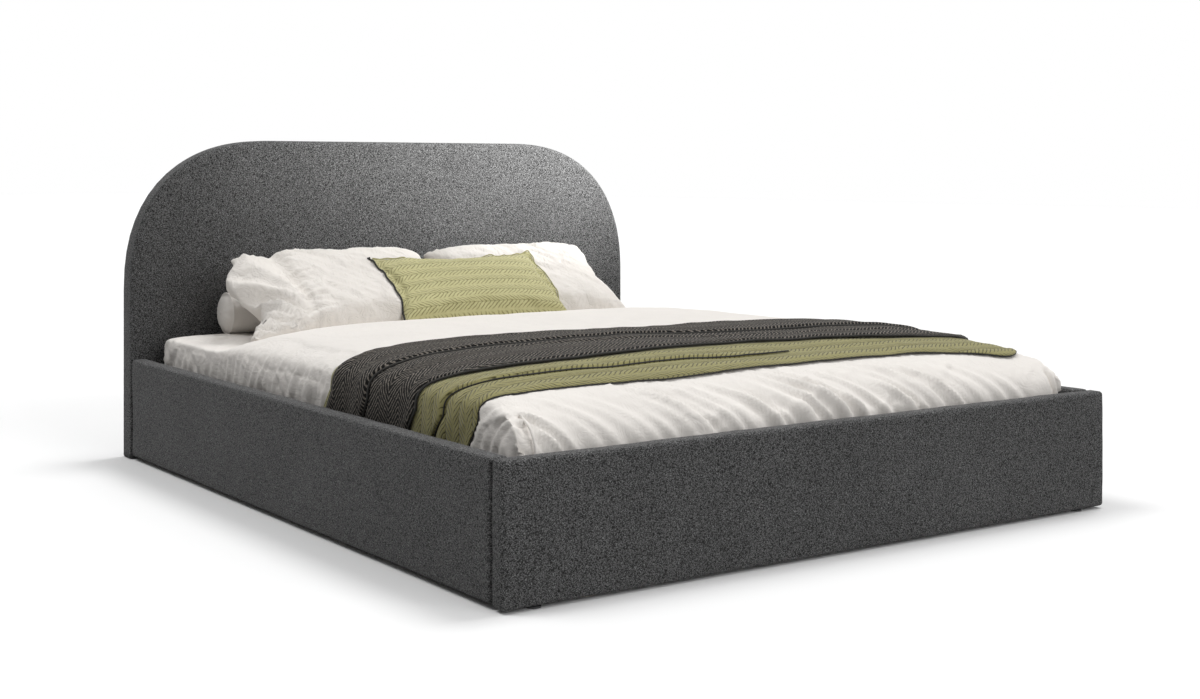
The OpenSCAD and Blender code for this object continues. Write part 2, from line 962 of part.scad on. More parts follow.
module strut_rod(side)
    color("silver")
        on_strut_line(side) {
            eye(strut_l + eye_reach, open_eye_r + eye_wall, open_eye_r);
            translate([0, 0, piston_at])
                cylinder(h = piston_l, r = tube_bore_r - 0.1);
            translate([0, 0, piston_at])
                cylinder(h = strut_l + eye_reach - open_eye_r - 1 - piston_at, r = rod_r);
        }

module left_strut_rod() strut_rod("left");
module right_strut_rod() strut_rod("right");

// ---------------------------------------------------------------- mattress and bedding

// Mattress with soft edges and a rounder top edge at the head, grown all round
module mattress_form(grow)
    hull()
        for (x = [-1, 1]) {
            for (z = [mattress_z + mattress_r, mattress_top - mattress_r])
                translate([x*(mattress_w/2 - mattress_r), mattress_foot_y + mattress_r, z])
                    sphere(mattress_r + grow, $fn = 24);
            translate([x*(mattress_w/2 - mattress_r), mattress_head_y - mattress_r,
                mattress_z + mattress_r])
                sphere(mattress_r + grow, $fn = 24);
            translate([x*(mattress_w/2 - mattress_head_r), mattress_head_y - mattress_head_r,
                mattress_top - mattress_head_r])
                sphere(mattress_head_r + grow, $fn = 32);
        }

module mattress()
    color("white")
        mattress_form(0);

// Across the bed: hanging sides that turn over a round shoulder onto the flat crown
function crown_point(i, side, grow) =
    let (a = 90*i/crown_steps)
        [side*(bedding_x + grow)*pow(cos(a), 2/crown_power),
            shoulder_z + (crest_z + grow - shoulder_z)*pow(sin(a), 2/crown_power)];
function crown_profile(grow) = concat(
    [[-bedding_x - grow, hem_z], [bedding_x + grow, hem_z]],
    [for (i = [0:crown_steps]) crown_point(i, 1, grow)],
    [for (i = [crown_steps - 1:-1:0]) crown_point(i, -1, grow)]
);

// Along the bed: thin at the head, a soft fold up to full height, and a round foot end
function fold_rise(t) = t*t*(3 - 2*t);
function fold_point(i, grow) =
    let (t = i/fold_steps)
        [fold_head_y + (fold_foot_y - fold_head_y)*t,
            mattress_top + sheet_t + (duvet_t - sheet_t)*fold_rise(t) + grow];
function foot_point(i, grow) =
    let (a = 90*i/crown_steps)
        [bedding_foot_y - grow + (foot_round + grow)*(1 - pow(sin(a), 2/foot_power)),
            shoulder_z + (crest_z + grow - shoulder_z)*pow(cos(a), 2/foot_power)];
function long_profile(grow) = concat(
    [[bedding_foot_y - grow, hem_z], [bedding_head_y + grow, hem_z],
        [bedding_head_y + grow, mattress_top + sheet_t + grow]],
    [for (i = [0:fold_steps]) fold_point(i, grow)],
    [for (i = [0:crown_steps]) foot_point(i, grow)]
);

// The whole outside of the bedding, grown by the thickness of what lies on it
module bedding_form(grow)
    intersection() {
        across(-big/2, big/2)
            polygon(long_profile(grow));
        along(-big/2, big/2)
            polygon(crown_profile(grow));
        translate([-bedding_x - grow, bedding_foot_y - grow, 0])
            linear_extrude(big)
                round_rect(2*(bedding_x + grow),
                    bedding_head_y - bedding_foot_y + 2*grow + plan_r + 5, plan_r);
    }

module duvet()
    color("whitesmoke")
        difference() {
            bedding_form(0);
            mattress_form(soft_gap);
        }

// The stretch of the bed between two places along it
module band(head, length)
    block([-big/2, head - length, 0], [big/2, head, big]);

module olive_throw()
    color("darkkhaki")
        difference() {
            intersection() {
                bedding_form(olive_throw_t);
                band(olive_head_y, olive_throw_l);
            }
            bedding_form(0);
        }

module dark_throw()
    color("dimgray")
        difference() {
            intersection() {
                bedding_form(olive_throw_t + dark_throw_t);
                band(dark_head_y, dark_throw_l);
            }
            bedding_form(olive_throw_t);
        }

// ---------------------------------------------------------------- pillows

// A crowned pillow that thins toward its rim; sag makes its underside the fuller one
module pillow_form(w, l, t, sag, grow)
    hull()
        for (i = [-pillow_steps:pillow_steps])
            let (a = 90*i/pillow_steps,
                k = pow(cos(a), pillow_crown),
                side_w = max(k*w, w/5) + 2*grow,
                side_l = max(k*l, l/5) + 2*grow,
                half_t = (i < 0 ? t/2 + sag : t/2 - sag) + grow)
                translate([-side_w/2, -side_l/2, half_t*sin(a) - 0.05])
                    linear_extrude(0.1)
                        round_rect(side_w, side_l, pillow_corner_r, $fn = 24);

module bolster_form(grow)
    translate(bolster_at - [bolster_l/2 + grow, 0, 0])
        rotate([0, 90, 0])
            rotate_extrude($fn = 48)
                intersection() {
                    translate([-bolster_r - grow, 0])
                        round_rect(2*(bolster_r + grow), bolster_l + 2*grow, bolster_end_r);
                    square([bolster_r + grow, bolster_l + 2*grow]);
                }

module cushion_form(grow)
    translate(cushion_at)
        rotate([cushion_tilt, 0, 0])
            pillow_form(cushion_w, cushion_l, cushion_t, 0, grow);

// A pillow pressed into shape by the bedding, the bolster and the cushion on it
module pillow(side)
    color("white")
        difference() {
            on_side(side)
                translate(pillow_at)
                    rotate([pillow_tilt, 0, 0])
                        pillow_form(pillow_w, pillow_l, pillow_t, pillow_sag, 0);
            bedding_form(soft_gap);
            cushion_form(soft_gap);
            bolster_form(soft_gap);
        }

module left_pillow() pillow("left");
module right_pillow() pillow("right");

module bolster()
    color("white")
        bolster_form(0);

module lumbar_cushion()
    color("darkkhaki")
        difference() {
            cushion_form(0);
            bedding_form(soft_gap);
        }

headboard_board();
headboard_foam();
headboard_cover();
headboard_back_panel();
left_rail_core();
left_rail_cover();
right_rail_core();
right_rail_cover();
footboard_core();
footboard_cover();
left_head_bracket();
right_head_bracket();
left_foot_bracket();
right_foot_bracket();
corner_bolts();
left_ledge();
right_ledge();
foot_ledge();
left_floor_batten();
right_floor_batten();
floor_joist();
head_floor_panel();
foot_floor_panel();
floor_glides();
left_hinge_plate();
right_hinge_plate();
left_pivot_pin();
right_pivot_pin();
hinge_plate_bolts();
lower_strut_studs();
left_side_tube();
right_side_tube();
head_tube();
foot_tube();
centre_tube();
tube_end_caps();
left_hinge_arm();
right_hinge_arm();
arm_bolts();
upper_strut_studs();
left_slats();
right_slats();
slat_holders();
mattress_retainer();
pull_strap();
mattress();
duvet();
olive_throw();
dark_throw();
left_strut_cylinder();
left_strut_rod();
right_strut_cylinder();
right_strut_rod();
left_pillow();
right_pillow();
bolster();
lumbar_cushion();
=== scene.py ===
import json
import math

import bpy
import numpy as np
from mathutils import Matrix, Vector
from mathutils.bvhtree import BVHTree


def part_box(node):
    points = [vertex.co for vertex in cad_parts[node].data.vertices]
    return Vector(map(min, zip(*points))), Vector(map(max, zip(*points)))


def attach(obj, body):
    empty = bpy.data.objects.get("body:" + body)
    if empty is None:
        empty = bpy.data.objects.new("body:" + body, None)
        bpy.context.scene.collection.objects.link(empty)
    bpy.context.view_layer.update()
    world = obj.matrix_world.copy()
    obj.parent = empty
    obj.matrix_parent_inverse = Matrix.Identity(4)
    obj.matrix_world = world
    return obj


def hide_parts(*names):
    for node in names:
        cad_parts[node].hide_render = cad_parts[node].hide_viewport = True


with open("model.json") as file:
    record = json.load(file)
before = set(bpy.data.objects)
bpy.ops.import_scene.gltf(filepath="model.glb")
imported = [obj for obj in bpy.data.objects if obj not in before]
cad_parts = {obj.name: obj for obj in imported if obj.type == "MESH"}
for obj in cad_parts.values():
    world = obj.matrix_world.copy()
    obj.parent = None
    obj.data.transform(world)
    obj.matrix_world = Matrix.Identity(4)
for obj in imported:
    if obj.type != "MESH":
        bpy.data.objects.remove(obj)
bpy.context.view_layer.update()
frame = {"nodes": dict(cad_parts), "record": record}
scene = bpy.context.scene


def assign(thing, **settings):
    for key, value in settings.items():
        setattr(thing, key, value)


def linked(name, data, **settings):
    """A new object of the scene, made of the data, with its settings."""
    assign(data, **settings)
    ob = bpy.data.objects.new(name, data)
    scene.collection.objects.link(ob)
    return ob


# ---- camera
camera = linked("camera", bpy.data.cameras.new("camera"), sensor_width=36, lens=49.43,
                shift_y=-0.1471, clip_end=100)
camera.location = (-2.518, -3.743, 0.8405)
camera.rotation_euler = (math.pi / 2, 0, -0.6085)
scene.camera = camera
scene.view_settings.view_transform = "Standard"


# ---- numbers
def smooth(low, high, x):
    """0 below low, 1 above high, with a soft step between; low may be the greater."""
    t = np.clip((np.asarray(x, float) - low) / (high - low), 0, 1)
    return t * t * (3 - 2 * t)


def bell(x, middle, width):
    """1 at the middle, falling off softly over the width."""
    return np.exp(-(((np.asarray(x, float) - middle) / width) ** 2))


def lattice(i, j, k, seed):
    """A scrambled number from 0 to 1 for each whole-numbered place."""
    n = (i * 73856093) ^ (j * 19349663) ^ (k * 83492791) ^ (seed * 40503 + 9176)
    n &= 0x7FFFFFFF
    n = ((n ^ (n >> 13)) * 1103515245) & 0x7FFFFFFF
    n = ((n ^ (n >> 12)) * 1234577) & 0x7FFFFFFF
    return ((n >> 7) & 0xFFFF) / 65535.0


def noise(x, y, z, seed):
    """Smooth noise from -1 to 1."""
    p = np.broadcast_arrays(*(np.asarray(a, float) for a in (x, y, z)))
    cell = [np.floor(a).astype(np.int64) for a in p]
    part = [a - c for a, c in zip(p, cell)]
    part = [t * t * (3 - 2 * t) for t in part]
    total = 0
    for corner in np.ndindex(2, 2, 2):
        w = 1
        for d, t in zip(corner, part):
            w = w * (t if d else 1 - t)
        total = total + w * lattice(*(c + d for c, d in zip(cell, corner)), seed)
    return 2 * total - 1


def fbm(x, y, z, seed):
    """Three layers of noise, each half as strong and about twice as fine as the one before."""
    total, size, fine = 0, 1.0, 1.0
    for layer in range(3):
        total = total + size * noise(x * fine, y * fine, z * fine, seed + 17 * layer)
        size, fine = size / 2, fine * 2.03
    return total


def ridged(x, y, seed):
    """Narrow ridges, 0 to 1, along the lines where the noise crosses zero."""
    return (1 - np.abs(noise(x, y, 0.5, seed))) ** 3


def walked(u, v):
    """The length of a path up to each of its points."""
    return np.concatenate([[0], np.cumsum(np.hypot(np.diff(u), np.diff(v)))])


def crown_steps(reach, height, power, step):
    """Places along a quarter of a rounded crown, from its middle (0) to its edge (reach)."""
    t = np.linspace(0, math.pi / 2, 6000)
    u = reach * np.sin(t) ** (2 / power)
    s = walked(u, height * np.cos(t) ** (2 / power))
    return np.interp(np.linspace(0, s[-1], max(2, int(round(s[-1] / step)) + 1)), s, u)


def circle(sides):
    """Angles round a full turn."""
    return np.linspace(0, 2 * math.pi, sides, endpoint=False)


def rows(*columns):
    """Points or pairs, one a row, from their columns; a single number fills a column."""
    return np.stack(np.broadcast_arrays(*columns), -1).reshape(-1, len(columns))


# ---- meshes
def read(items, key, width, kind=float):
    """One property of every item of a collection, a row each."""
    values = np.empty(len(items) * width, kind)
    items.foreach_get(key, values)
    return values.reshape(-1, width)


def coords(ob):
    return read(ob.data.vertices, "co", 3)


def normals(ob):
    return read(ob.data.vertex_normals, "vector", 3)


def set_coords(ob, co):
    ob.data.vertices.foreach_set("co", np.asarray(co, float).ravel())
    ob.data.update()


def face_up(ob, index):
    """Turns the mesh over if it faces down at a vertex."""
    if normals(ob)[index][2] < 0:
        ob.data.flip_normals()


def push(ob, amount):
    """Moves each vertex along its normal."""
    set_coords(ob, coords(ob) + normals(ob) * np.asarray(amount)[:, None])


def set_uv(me, uv):
    """Gives a mesh one UV pair for each vertex."""
    layer = me.uv_layers.get("UVMap") or me.uv_layers.new(name="UVMap")
    corners = read(me.loops, "vertex_index", 1, np.int32)[:, 0]
    layer.data.foreach_set("uv", np.asarray(uv, float)[corners].ravel())


def new_mesh(name, verts, faces, uv=None):
    """A smooth mesh object; uv is one pair for each vertex."""
    me = bpy.data.meshes.new(name)
    if not isinstance(faces, list):
        faces = faces.tolist()
    me.from_pydata(np.asarray(verts, float).tolist(), [], faces)
    me.polygons.foreach_set("use_smooth", [True] * len(me.polygons))
    if uv is not None:
        set_uv(me, uv)
    me.update()
    return linked(name, me)


def grid_faces(n, m, start=0, wrap_n=False, wrap_m=False):
    """Quads of a grid of n by m points, numbered from start; a wrapped side joins its last to its first."""
    i = np.arange(n if wrap_n else n - 1)
    j = np.arange(m if wrap_m else m - 1)
    i, j = np.meshgrid(i, j, indexing="ij")
    i1, j1 = (i + 1) % n, (j + 1) % m
    return np.stack([i * m + j, i1 * m + j, i1 * m + j1, i * m + j1], -1).reshape(-1, 4) + start


def ring_faces(n, sides, closed=False):
    """Faces along n rings of points: a closed loop, or a tube with both ends capped."""
    faces = grid_faces(n, sides, wrap_n=closed, wrap_m=True).tolist()
    if not closed:
        faces += [list(range(sides))[::-1], [(n - 1) * sides + i for i in range(sides)]]
    return faces


def blur(a, times):
    """Evens out a grid of numbers, edges kept."""
    for axis in (0, 1) * times:
        a = np.moveaxis(a, axis, 0)
        b = a.copy()
        b[1:-1] = (a[:-2] + 2 * a[1:-1] + a[2:]) / 4
        a = np.moveaxis(b, 0, axis)
    return a


def use(ob, kind, **settings):
    """Applies one modifier to the mesh."""
    assign(ob.modifiers.new(kind.lower(), kind), **settings)
    bpy.context.view_layer.update()
    dg = bpy.context.evaluated_depsgraph_get()
    made = bpy.data.meshes.new_from_object(ob.evaluated_get(dg), preserve_all_data_layers=True, depsgraph=dg)
    ob.modifiers.clear()
    old, ob.data = ob.data, made
    bpy.data.meshes.remove(old)
    made.polygons.foreach_set("use_smooth", [True] * len(made.polygons))


def dress(ob, material, body):
    """Gives a piece its material and the body it rides on."""
    ob.data.materials.clear()
    ob.data.materials.append(material)
    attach(ob, body)
    return ob


def stand_in(ob, node, material, body):
    """Dresses a piece that takes a soft CAD node's place, and hides that node."""
    dress(ob, material, body)
    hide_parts(node)


def tube(name, path, radius, material, body, sides=8, closed=False):
    """A dressed round tube along points, with no twist."""
    path = np.asarray(path, float)
    ahead = np.roll(path, -1, 0) - np.roll(path, 1, 0)
    if not closed:
        ahead[0] = path[1] - path[0]
        ahead[-1] = path[-1] - path[-2]
    ahead /= np.linalg.norm(ahead, axis=1)[:, None]
    side = np.cross(ahead[0], (0.0, 0.0, 1.0))
    if np.linalg.norm(side) < 1e-3:
        side = np.cross(ahead[0], (0.0, 1.0, 0.0))
    t = circle(sides)[:, None]
    rings = []
    for p, a in zip(path, ahead):
        side = side - a * np.dot(side, a)
        side /= np.linalg.norm(side)
        rings.append(p + radius * (np.cos(t) * side + np.sin(t) * np.cross(a, side)))
    ob = new_mesh(name, np.concatenate(rings), ring_faces(len(path), sides, closed))
    return dress(ob, material, body)


# ---- materials
def plug(tree, socket, value):
    """Links a node's output to a socket, or sets the socket to a plain value."""
    if isinstance(value, bpy.types.NodeSocket):
        tree.links.new(value, socket)
    else:
        socket.default_value = value


def add_node(tree, kind, sockets=None, **settings):
    node = tree.nodes.new("ShaderNode" + kind)
    assign(node, **settings)
    for key, value in (sockets or {}).items():
        plug(tree, node.inputs[key], value)
    return node


class Material:
    """A node material, built a node at a time."""

    def __init__(self, name, **sockets):
        self.material = bpy.data.materials.new(name)
        self.material.use_nodes = True
        self.tree = self.material.node_tree
        for key, value in sockets.items():
            self.set(key.replace("_", " "), value)
        self.place = self.add("TexCoord").outputs["Object"]

    def set(self, key, value):
        plug(self.tree, self.tree.nodes["Principled BSDF"].inputs[key], value)

    def add(self, kind, sockets=None, **settings):
        return add_node(self.tree, kind, sockets, **settings)

    def uv(self):
        """The mesh's own two coordinates."""
        return self.add("SeparateXYZ", {0: self.add("UVMap").outputs["UV"]}).outputs[:2]

    def sized(self, x, y, z, of=None):
        """A place scaled by axis: a number under 1 stretches the pattern along it."""
        return self.add("Mapping", {0: of or self.place, "Scale": (x, y, z)}).outputs[0]

    def noise(self, scale, detail=2.0, rough=0.5, at=None, warp=0.0):
        sockets = {"Scale": scale, "Detail": detail, "Roughness": rough, "Distortion": warp}
        return self.add("TexNoise", {"Vector": at or self.place, **sockets}).outputs["Fac"]

    def cells(self, scale, at=None):
        return self.add("TexVoronoi", {"Vector": at or self.place, "Scale": scale}).outputs["Distance"]

    def bands(self, scale, axis, warp=0.0, at=None):
        sockets = {"Vector": at or self.place, "Scale": scale, "Distortion": warp}
        return self.add("TexWave", sockets, bands_direction=axis).outputs["Fac"]

    def calc(self, how, a, b=0.5, c=0.5):
        return self.add("Math", {0: a, 1: b, 2: c}, operation=how).outputs[0]

    def times(self, a, b):
        return self.calc("MULTIPLY", a, b)

    def weave(self, scale, axis, warp):
        """Two crossed sets of threads, banded along X and along the other axis."""
        return self.times(self.bands(scale, "X", warp), self.bands(scale, axis, warp))

    def spread(self, value, low, high, to_low=0.0, to_high=1.0):
        return self.add("MapRange", {"Value": value, 1: low, 2: high, 3: to_low, 4: to_high}).outputs[0]

    def ramp(self, value, *stops):
        node = self.add("ValToRGB", {"Fac": value})
        marks = node.color_ramp.elements
        while len(marks) < len(stops):
            marks.new(0.5)
        for mark, (at, colour) in zip(marks, stops):
            mark.position = at
            mark.color = (*colour, 1)
        return node.outputs["Color"]

    def mix(self, share, a, b):
        """From colour a to colour b; each is a plain colour or a node's output."""
        a, b = (v if isinstance(v, bpy.types.NodeSocket) else (*v, 1) for v in (a, b))
        return self.add("Mix", {0: share, 6: a, 7: b}, data_type="RGBA").outputs[2]

    def uneven(self, colour, dim, share):
        """The colour, dimmed by a factor where the share is low."""
        return self.mix(share, [c * dim for c in colour], colour)

    def done(self, colour, *relief):
        """Sets the colour and the relief, given as layers (height, strength, depth) from coarse to fine."""
        under = {}
        for height, strength, depth in relief:
            bump = self.add("Bump", {"Height": height, "Strength": strength, "Distance": depth, **under})
            under = {"Normal": bump.outputs[0]}
        self.set("Base Color", colour)
        self.set("Normal", under["Normal"])
        return self.material


def grey(level):
    return (level, level, level)


def boucle():
    """Looped upholstery yarn: worm-like nubs a few millimetres wide; the colour follows their height, with
    painted shade between the nubs and a painted highlight on their tips.
    """
    m = Material("charcoal_boucle", Roughness=0.92, Sheen_Weight=0.16, Sheen_Roughness=0.38,
                 Sheen_Tint=(0.8, 0.8, 0.8, 1), Specular_IOR_Level=0.2)
    warp = m.add("TexNoise", {"Vector": m.place, "Scale": 190.0, "Detail": 1.0}).outputs["Color"]
    shift = m.add("VectorMath", {0: warp, 1: (0.5, 0.5, 0.5)}, operation="SUBTRACT").outputs[0]
    shift = m.add("VectorMath", {0: shift, "Scale": 0.0075}, operation="SCALE").outputs[0]
    at = m.sized(1.0, 1.0, 1.6, of=m.add("VectorMath", {0: m.place, 1: shift}, operation="ADD").outputs[0])
    nubs = m.calc("SUBTRACT", 1.0, m.cells(310.0, at))
    height = m.calc("MULTIPLY_ADD", nubs, 0.75, m.times(m.noise(520.0, 2.0, 0.6, at), 0.5))
    tone = m.calc("ADD", height, m.spread(m.noise(5.0), 0.3, 0.7, -0.014, 0.014))
    # painted shade and highlight: dark where the nubs are low, light on their tips, under a slow random tone
    colour = m.ramp(tone, (0.42, grey(0.014)), (0.62, grey(0.072)), (0.80, grey(0.175)), (1.0, grey(0.43)))
    return m.done(colour, (height, 0.9, 0.0018))


def cotton(name, colour, wrinkle=1.0):
    """Plain woven cotton, with small creases that no mesh carries."""
    m = Material(name, Roughness=0.86, Sheen_Weight=0.18, Sheen_Roughness=0.5, Specular_IOR_Level=0.25)
    crease = m.noise(24.0, 4.0, 0.62, at=m.sized(1.0, 0.5, 1.0), warp=0.9)
    crease = m.spread(m.calc("ABSOLUTE", m.calc("SUBTRACT", crease, 0.5)), 0.0, 0.11)
    return m.done(m.uneven(colour, 0.955, m.spread(m.noise(4.0, 3.0, 0.55), 0.3, 0.7)),
                  (m.noise(8.0, 3.0, warp=0.4), 0.45 * wrinkle, 0.014), (crease, 0.30 * wrinkle, 0.0020),
                  (m.weave(640.0, "Y", 0.4), 0.12, 0.0004))


def quilt(name, colour, shade, stroke_pitch, row_pitch, lift):
    """Cloth stitched in rows of leaf-like strokes: v runs across the rows, u along them. The stroke valleys
    and row spines take the shade colour, as painted shade in the stitched hollows.
    """
    m = Material(name, Roughness=0.84, Sheen_Weight=0.25, Sheen_Roughness=0.45, Specular_IOR_Level=0.2)
    u, v = m.uv()
    wobble = m.noise(34.0)
    v = m.calc("MULTIPLY_ADD", wobble, row_pitch * 0.10, v)
    row = m.calc("PINGPONG", v, row_pitch / 2)             # 0 at a row's spine
    stroke = m.calc("MULTIPLY_ADD", row, 1.25, m.calc("MULTIPLY_ADD", wobble, stroke_pitch * 1.6, u))
    leaf = m.calc("ABSOLUTE", m.calc("SINE", m.times(stroke, math.pi / stroke_pitch)))
    line = m.calc("MAXIMUM", m.spread(leaf, 0.05, 0.62), m.spread(row, row_pitch * 0.34, row_pitch * 0.48))
    line = m.calc("MAXIMUM", line, m.spread(m.noise(90.0), 0.56, 0.72))
    height = m.times(line, m.spread(row, row_pitch * 0.008, row_pitch * 0.045, 0.55, 1.0))
    # painted shade: where this share is low, the shade colour fills the stitched hollows; the noise varies
    # its depth at random
    unshaded_share = m.times(height, m.spread(m.noise(60.0, 3.0, 0.6), 0.2, 0.8, 0.8, 1.0))
    puff = m.spread(row, 0.0, row_pitch / 2)
    puff = m.calc("SUBTRACT", puff, m.times(m.times(puff, puff), 0.9))
    return m.done(m.mix(unshaded_share, shade, colour), (m.noise(14.0, 3.0, warp=0.4), 0.3, 0.008),
                  (puff, 0.5 * lift, 0.005), (height, 0.6 * lift, 0.0016),
                  (m.weave(700.0, "Z", 0.5), 0.15, 0.0005))


def twill(name, rib_pitch, band):
    """Coarse herringbone: u along the throw's long side, v across it."""
    m = Material(name, Roughness=0.9, Sheen_Weight=0.05, Sheen_Roughness=0.5, Specular_IOR_Level=0.15)
    u, v = m.uv()
    line = m.calc("MULTIPLY_ADD", m.calc("PINGPONG", v, band), 1.15, u)
    line = m.calc("MULTIPLY_ADD", m.noise(120.0, 1.0), rib_pitch * 0.7, line)
    rib = m.spread(m.calc("SINE", m.times(line, 2 * math.pi / rib_pitch)), -0.35, 0.85)
    lit = m.times(rib, m.spread(m.noise(330.0, 2.0, 0.6), 0.3, 0.7, 0.55, 1.0))
    colour = m.ramp(lit, (0.0, (0.002, 0.0017, 0.0013)), (0.45, (0.012, 0.0102, 0.0082)),
                    (1.0, (0.31, 0.276, 0.238)))
    return m.done(colour, (m.noise(18.0), 0.25, 0.006), (rib, 0.8, 0.0022))


def plain_cloth(name, colour, scale=500.0):
    """Plain weave, with fibres that show as a darker fleck."""
    m = Material(name, Roughness=0.9)
    fibre = m.noise(180.0, 3.0, 0.6)
    return m.done(m.uneven(colour, 0.7, m.spread(fibre, 0.3, 0.7)),
                  (m.calc("ADD", m.weave(scale, "Z", 0.5), fibre), 0.35, 0.0006))


def wood(name, light, dark, gloss=0.45):
    """Sawn or laminated wood with its grain along X."""
    m = Material(name, Roughness=gloss)
    grain = m.noise(108.0, 6.0, 0.6, at=m.sized(0.06, 1, 1), warp=1.2)
    pores = m.noise(900.0, 2.0, 0.7, at=m.sized(0.021, 1, 1))
    tone = m.calc("MULTIPLY_ADD", grain, 0.8, m.times(pores, 0.2))
    m.set("Roughness", m.spread(grain, 0.3, 0.7, gloss + 0.12, gloss - 0.05))
    return m.done(m.ramp(tone, (0.3, dark), (0.72, light)), (tone, 0.25, 0.0006))


def chipboard(name, light, dark):
    """Pressed chips, a few millimetres wide and longer along Y."""
    m = Material(name, Roughness=0.8)
    chips = m.cells(230.0, at=m.sized(1.0, 0.5, 1.0))
    tone = m.calc("MULTIPLY_ADD", chips, 0.9, m.times(m.noise(420.0, 3.0, 0.7), 0.5))
    return m.done(m.ramp(tone, (0.2, dark), (0.8, light)), (tone, 0.3, 0.0006))


def metal(name, colour, rough, painted=True):
    """Powder-coated metal with fine orange peel, or bare metal drawn along X."""
    m = Material(name, Roughness=rough, Metallic=0.0 if painted else 1.0)
    scale, at, strength = (260.0, m.place, 0.12) if painted else (60.0, m.sized(0.2, 6, 6), 0.08)
    worn = m.noise(12.0, 4.0, 0.6)
    m.set("Roughness", m.spread(worn, 0.3, 0.7, rough - 0.05, rough + 0.08))
    return m.done(m.uneven(colour, 0.82, m.spread(worn, 0.35, 0.7)),
                  (m.noise(scale, 3.0, 0.6, at), strength, 0.0004))


def plastic(name, colour):
    """Moulded plastic with a fine grit."""
    m = Material(name, Roughness=0.5)
    return m.done(m.uneven(colour, 0.8, m.noise(20.0, 3.0)), (m.noise(900.0, 2.0, 0.6), 0.2, 0.0003))


def foam():
    m = Material("foam", Roughness=0.95)
    pores = m.cells(520.0)
    return m.done(m.ramp(pores, (0.05, (0.5, 0.42, 0.2)), (0.5, (0.78, 0.7, 0.42))), (pores, 0.5, 0.001))


def knit_border():
    """The mattress's knit, with crossed diagonal ribs."""
    m = Material("mattress_knit", Roughness=0.85, Sheen_Weight=0.2)
    diamonds = m.times(m.bands(26.0, "DIAGONAL"), m.bands(26.0, "DIAGONAL", at=m.sized(1, -1, -1)))
    return m.done(m.mix(diamonds, (0.74, 0.73, 0.7), (0.83, 0.82, 0.79)),
                  (diamonds, 0.6, 0.004), (m.bands(700.0, "Z", 0.6), 0.15, 0.0005))


CHARCOAL = boucle()
WHITE = cotton("white_cotton", (0.85, 0.812, 0.768))
CASE = cotton("pillow_cotton", (0.81, 0.770, 0.722), wrinkle=2.1)
BOLSTER_CLOTH = cotton("bolster_cotton", (0.80, 0.765, 0.725), wrinkle=0.6)
# the second colour of each quilt is painted shade for its stitched hollows
OLIVE = quilt("olive_quilting", (0.315, 0.290, 0.122), (0.050, 0.044, 0.012), 0.0140, 0.052, lift=1.5)
OLIVE_CUSHION = quilt("olive_embossed", (0.565, 0.535, 0.285), (0.20, 0.18, 0.065), 0.0150, 0.0480, lift=1.2)
TWILL = twill("dark_herringbone", 0.0125, 0.044)
# dark cloth for the pull strap's real stitches, and for cords laid as painted shadow lines along the throws'
# hems and folds and the cushion's shaded left edge
DARK_THREAD_AND_SHADOW = plain_cloth("dark_thread_and_painted_shadow", (0.03, 0.029, 0.026))
OLIVE_TRIM = plain_cloth("olive_trim", (0.50, 0.47, 0.25))
KNIT = knit_border()

# the finish of each of the record's slots that bare CAD nodes show
finish = {
    "backing_cloth": plain_cloth("backing_cloth", (0.022, 0.022, 0.024), 380.0),
    "board": chipboard("particle_board", (0.56, 0.43, 0.28), (0.33, 0.23, 0.13)),
    "foam": foam(),
    "floor_board": wood("grey_floor_board", (0.27, 0.265, 0.255), (0.19, 0.187, 0.18), gloss=0.6),
    "bracket_steel": metal("black_bracket_steel", (0.045, 0.045, 0.05), 0.42),
    "zinc_steel": metal("zinc_plated_steel", (0.66, 0.66, 0.64), 0.32, painted=False),
    "black_plastic": plastic("black_plastic", (0.025, 0.025, 0.027)),
    "frame_steel": metal("powder_coated_steel", (0.055, 0.055, 0.06), 0.5),
    "beech": wood("beech_slat", (0.66, 0.47, 0.29), (0.47, 0.31, 0.17)),
    "webbing": plain_cloth("black_webbing", (0.03, 0.03, 0.032), 300.0),
    "strut_black": metal("strut_black", (0.02, 0.02, 0.022), 0.3),
    "chrome_rod": metal("chrome_rod", (0.82, 0.82, 0.83), 0.12, painted=False),
}
for row in frame["record"]["subparts"]:
    if row["material_slot"] in finish:
        slots = frame["nodes"][row["node"]].data.materials
        slots.clear()
        slots.append(finish[row["material_slot"]])


# ---- upholstered covers
def edge_steps(low, high, radius, step):
    """Grid lines from low to high: fine within a radius of each end, a step apart between."""
    fine = radius * (1 - np.cos(np.linspace(0, math.pi / 2, 6)))
    n = max(1, int(round((high - low - 2 * radius) / step)))
    middle = np.linspace(low + radius, high - radius, n + 1)
    return np.unique(np.round(np.concatenate([low + fine, middle, high - fine]), 6))


